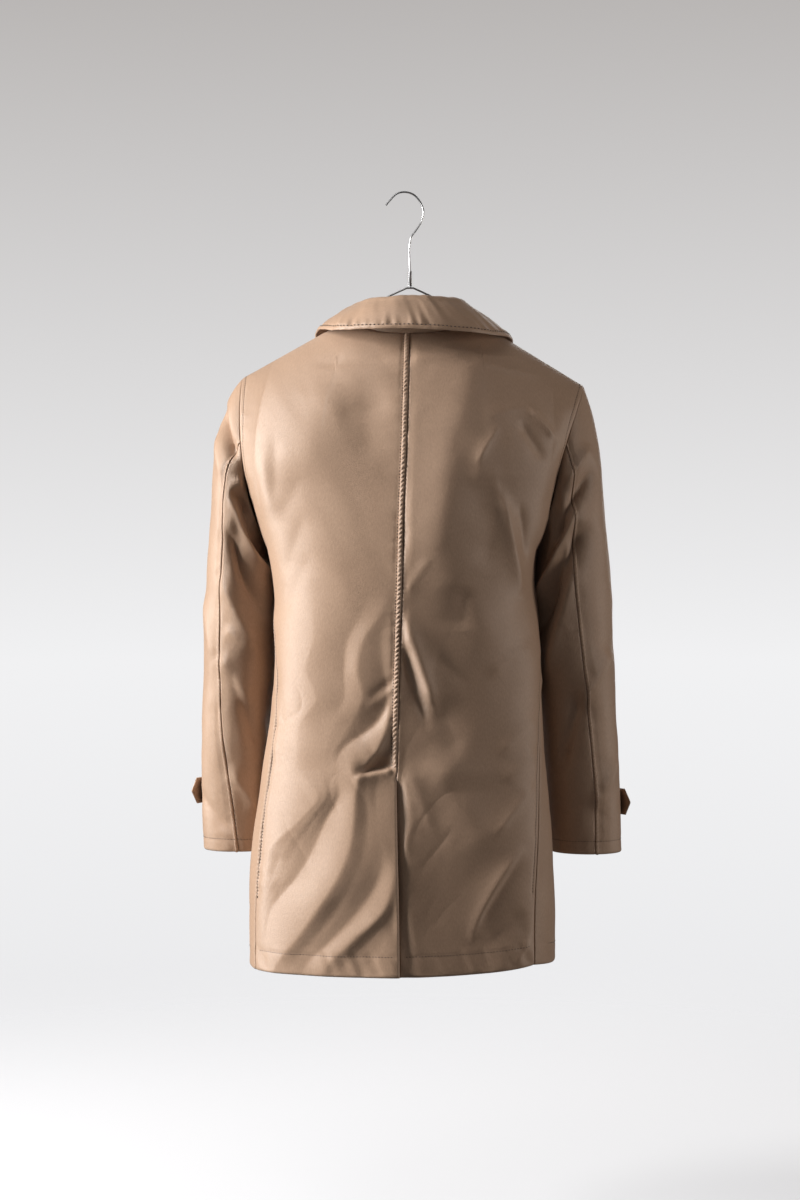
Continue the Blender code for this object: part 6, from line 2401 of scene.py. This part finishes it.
@dataclass
class Stage:
    """A pale floor, soft studio light and the camera."""

    floor_z: float = -1.42
    floor_radius: float = 2.6
    floor_colour: tuple = (0.42, 0.42, 0.43, 1.0)
    floor_glow: tuple = (0.44, 0.44, 0.45, 1.0)
    floor_fade: float = 0.75
    low_tone: tuple = (0.80, 0.80, 0.815, 1.0)
    middle_tone: tuple = (0.88, 0.88, 0.89, 1.0)
    high_tone: tuple = (0.47, 0.45, 0.44, 1.0)
    middle_place: float = 0.45
    tone_reach: float = 0.27
    world_light: float = 0.12
    camera_at: tuple[float, float, float] = (-0.0062, -3.1, -0.5617)
    frame_high: float = 1.656
    sensor: float = 36.0
    lamps: tuple[Lamp, ...] = (
        Lamp("key", (-3.25, -0.80, 0.30), (0.0, -0.05, -0.58), (1.0, 2.2), 280.0, (1.0, 0.99, 0.97)),
        Lamp("top", (-0.9, -1.1, 1.6), (0.0, 0.0, -0.4), (1.2, 1.2), 11.0, (1.0, 0.98, 0.96)),
        Lamp("front", (0.6, 3.0, 0.3), (0.0, 0.0, -0.6), (2.0, 2.0), 35.0, (1.0, 0.99, 0.97)),
        Lamp("fill", (2.7, -0.5, -0.4), (0.0, 0.0, -0.6), (1.0, 1.8), 27.0, (1.0, 0.93, 0.86)),
    )

    def build(self) -> None:
        """Makes the floor, the world, the lights and the camera."""
        self.build_floor()
        self.build_world()
        for lamp in self.lamps:
            self.add_light(lamp)
        self.build_camera()

    def build_floor(self) -> None:
        """A pale disc that fades away at its rim."""
        bm = bmesh.new()
        bmesh.ops.create_circle(bm, cap_ends=True, segments=96, radius=self.floor_radius)
        bmesh.ops.translate(bm, verts=bm.verts, vec=(0.0, 0.0, self.floor_z))
        kit = Kit.named("pale_floor")
        kit.fix(Base_Color=self.floor_colour, Roughness=0.85, Emission_Color=self.floor_glow,
                Emission_Strength=1.0)
        wide = 1.0 / self.floor_radius
        rim = kit.add("TexGradient", gradient_type="SPHERICAL")
        kit.join(kit.mapped(kit.where(), (wide, wide, 0.0)), rim.inputs["Vector"])
        fade = kit.ranged(rim.outputs["Fac"], interpolation_type="SMOOTHSTEP", From_Min=0.0,
                          From_Max=self.floor_fade)
        kit.feed(fade, "Alpha")
        floor = made_object("floor", bm, kit.owner)
        floor.visible_diffuse = False
        floor.visible_glossy = False

    def build_world(self) -> None:
        """A pale surround that is brighter low down, and dimmer as a light than it looks."""
        world = bpy.data.worlds.new("pale_studio")
        bpy.context.scene.world = world
        kit = Kit(world, "Background")
        split = kit.add("SeparateXYZ")
        kit.join(kit.add("TexCoord").outputs["Generated"], split.inputs["Vector"])
        height = kit.ranged(split.outputs["Z"], From_Min=-self.tone_reach, From_Max=self.tone_reach)
        tone = kit.add("ValToRGB")
        tone.color_ramp.elements[0].color = self.low_tone
        tone.color_ramp.elements[1].color = self.high_tone
        tone.color_ramp.elements.new(self.middle_place).color = self.middle_tone
        kit.join(height, tone.inputs["Fac"])
        kit.feed(tone.outputs["Color"], "Color")
        ray = kit.add("LightPath").outputs["Is Camera Ray"]
        kit.feed(kit.ranged(ray, To_Min=self.world_light, To_Max=1.0), "Strength")

    def add_light(self, lamp: Lamp) -> None:
        """Hangs up one of the lights."""
        light = bpy.data.lights.new(lamp.name, "AREA")
        light.shape = "RECTANGLE"
        light.size, light.size_y = lamp.size
        light.energy = lamp.watts
        light.color = lamp.colour
        made = bpy.data.objects.new(lamp.name, light)
        made.location = lamp.at
        made.rotation_euler = (Vector(lamp.to) - Vector(lamp.at)).to_track_quat("-Z", "Y").to_euler()
        bpy.context.scene.collection.objects.link(made)

    def build_camera(self) -> None:
        """The camera, level with the middle of the picture."""
        lens = bpy.data.cameras.new("camera")
        lens.sensor_fit = "VERTICAL"
        lens.sensor_height = self.sensor
        lens.lens = self.sensor * abs(self.camera_at[1]) / self.frame_high
        made = bpy.data.objects.new("camera", lens)
        made.location = self.camera_at
        made.rotation_euler = (math.radians(90.0), 0.0, 0.0)
        bpy.context.scene.collection.objects.link(made)
        bpy.context.scene.camera = made
        bpy.context.scene.view_settings.view_transform = "Standard"


def main() -> None:
    """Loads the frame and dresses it."""
    logging.basicConfig(level=logging.INFO, format="%(message)s")
    for old in list(bpy.data.objects):
        bpy.data.objects.remove(old)
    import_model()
    finishes = Finishes.made()
    shape = CoatShape()
    Stage().build()
    BodyPanel(shape, Side.LEFT, Part.BACK, BACK_LEFT_FOLDS, BACK_FLAT, seed=101,
              drape=BACK_LEFT_DRAPE).build(finishes)
    right_back = BodyPanel(shape, Side.RIGHT, Part.BACK, BACK_RIGHT_FOLDS, BACK_FLAT,
                           seed=151).build(finishes)
    VentUnderlap(shape).build(right_back, finishes)
    left_front = BodyPanel(shape, Side.LEFT, Part.FRONT, FRONT_LEFT_FOLDS, FRONT_FLAT, seed=201,
                           step=FRONT_STEP, row_step=FRONT_STEP).build(finishes)
    BodyPanel(shape, Side.RIGHT, Part.FRONT, FRONT_RIGHT_FOLDS, FRONT_FLAT, seed=251,
              step=FRONT_STEP, row_step=FRONT_STEP).build(finishes)
    left = Sleeve(shape, Side.LEFT, SLEEVE_LEFT_LEVELS, SLEEVE_LEFT_CREASES, cap_leave=0.184,
                  cap_round=0.150, seed=301, full=0.0110, low_full=0.0030, hollow=0.0080)
    right = Sleeve(shape, Side.RIGHT, SLEEVE_RIGHT_LEVELS, SLEEVE_RIGHT_CREASES, cap_leave=0.050,
                   cap_round=0.050, seed=351, hollow=0.0050, crease_gain=3.0)
    left.build(finishes)
    right.build(finishes)
    Collar(shape).build(finishes)
    CuffTab(left, top_z=-0.812, tip=0.033).build(finishes)
    CuffTab(right, top_z=-0.826, tip=0.031).build(finishes)
    FrontButtons(shape).build(left_front, finishes)
    WireHanger(shape).build(finishes)
    bpy.context.view_layer.update()
    LOG.info("coat dressed")


if __name__ == "__main__":
    main()
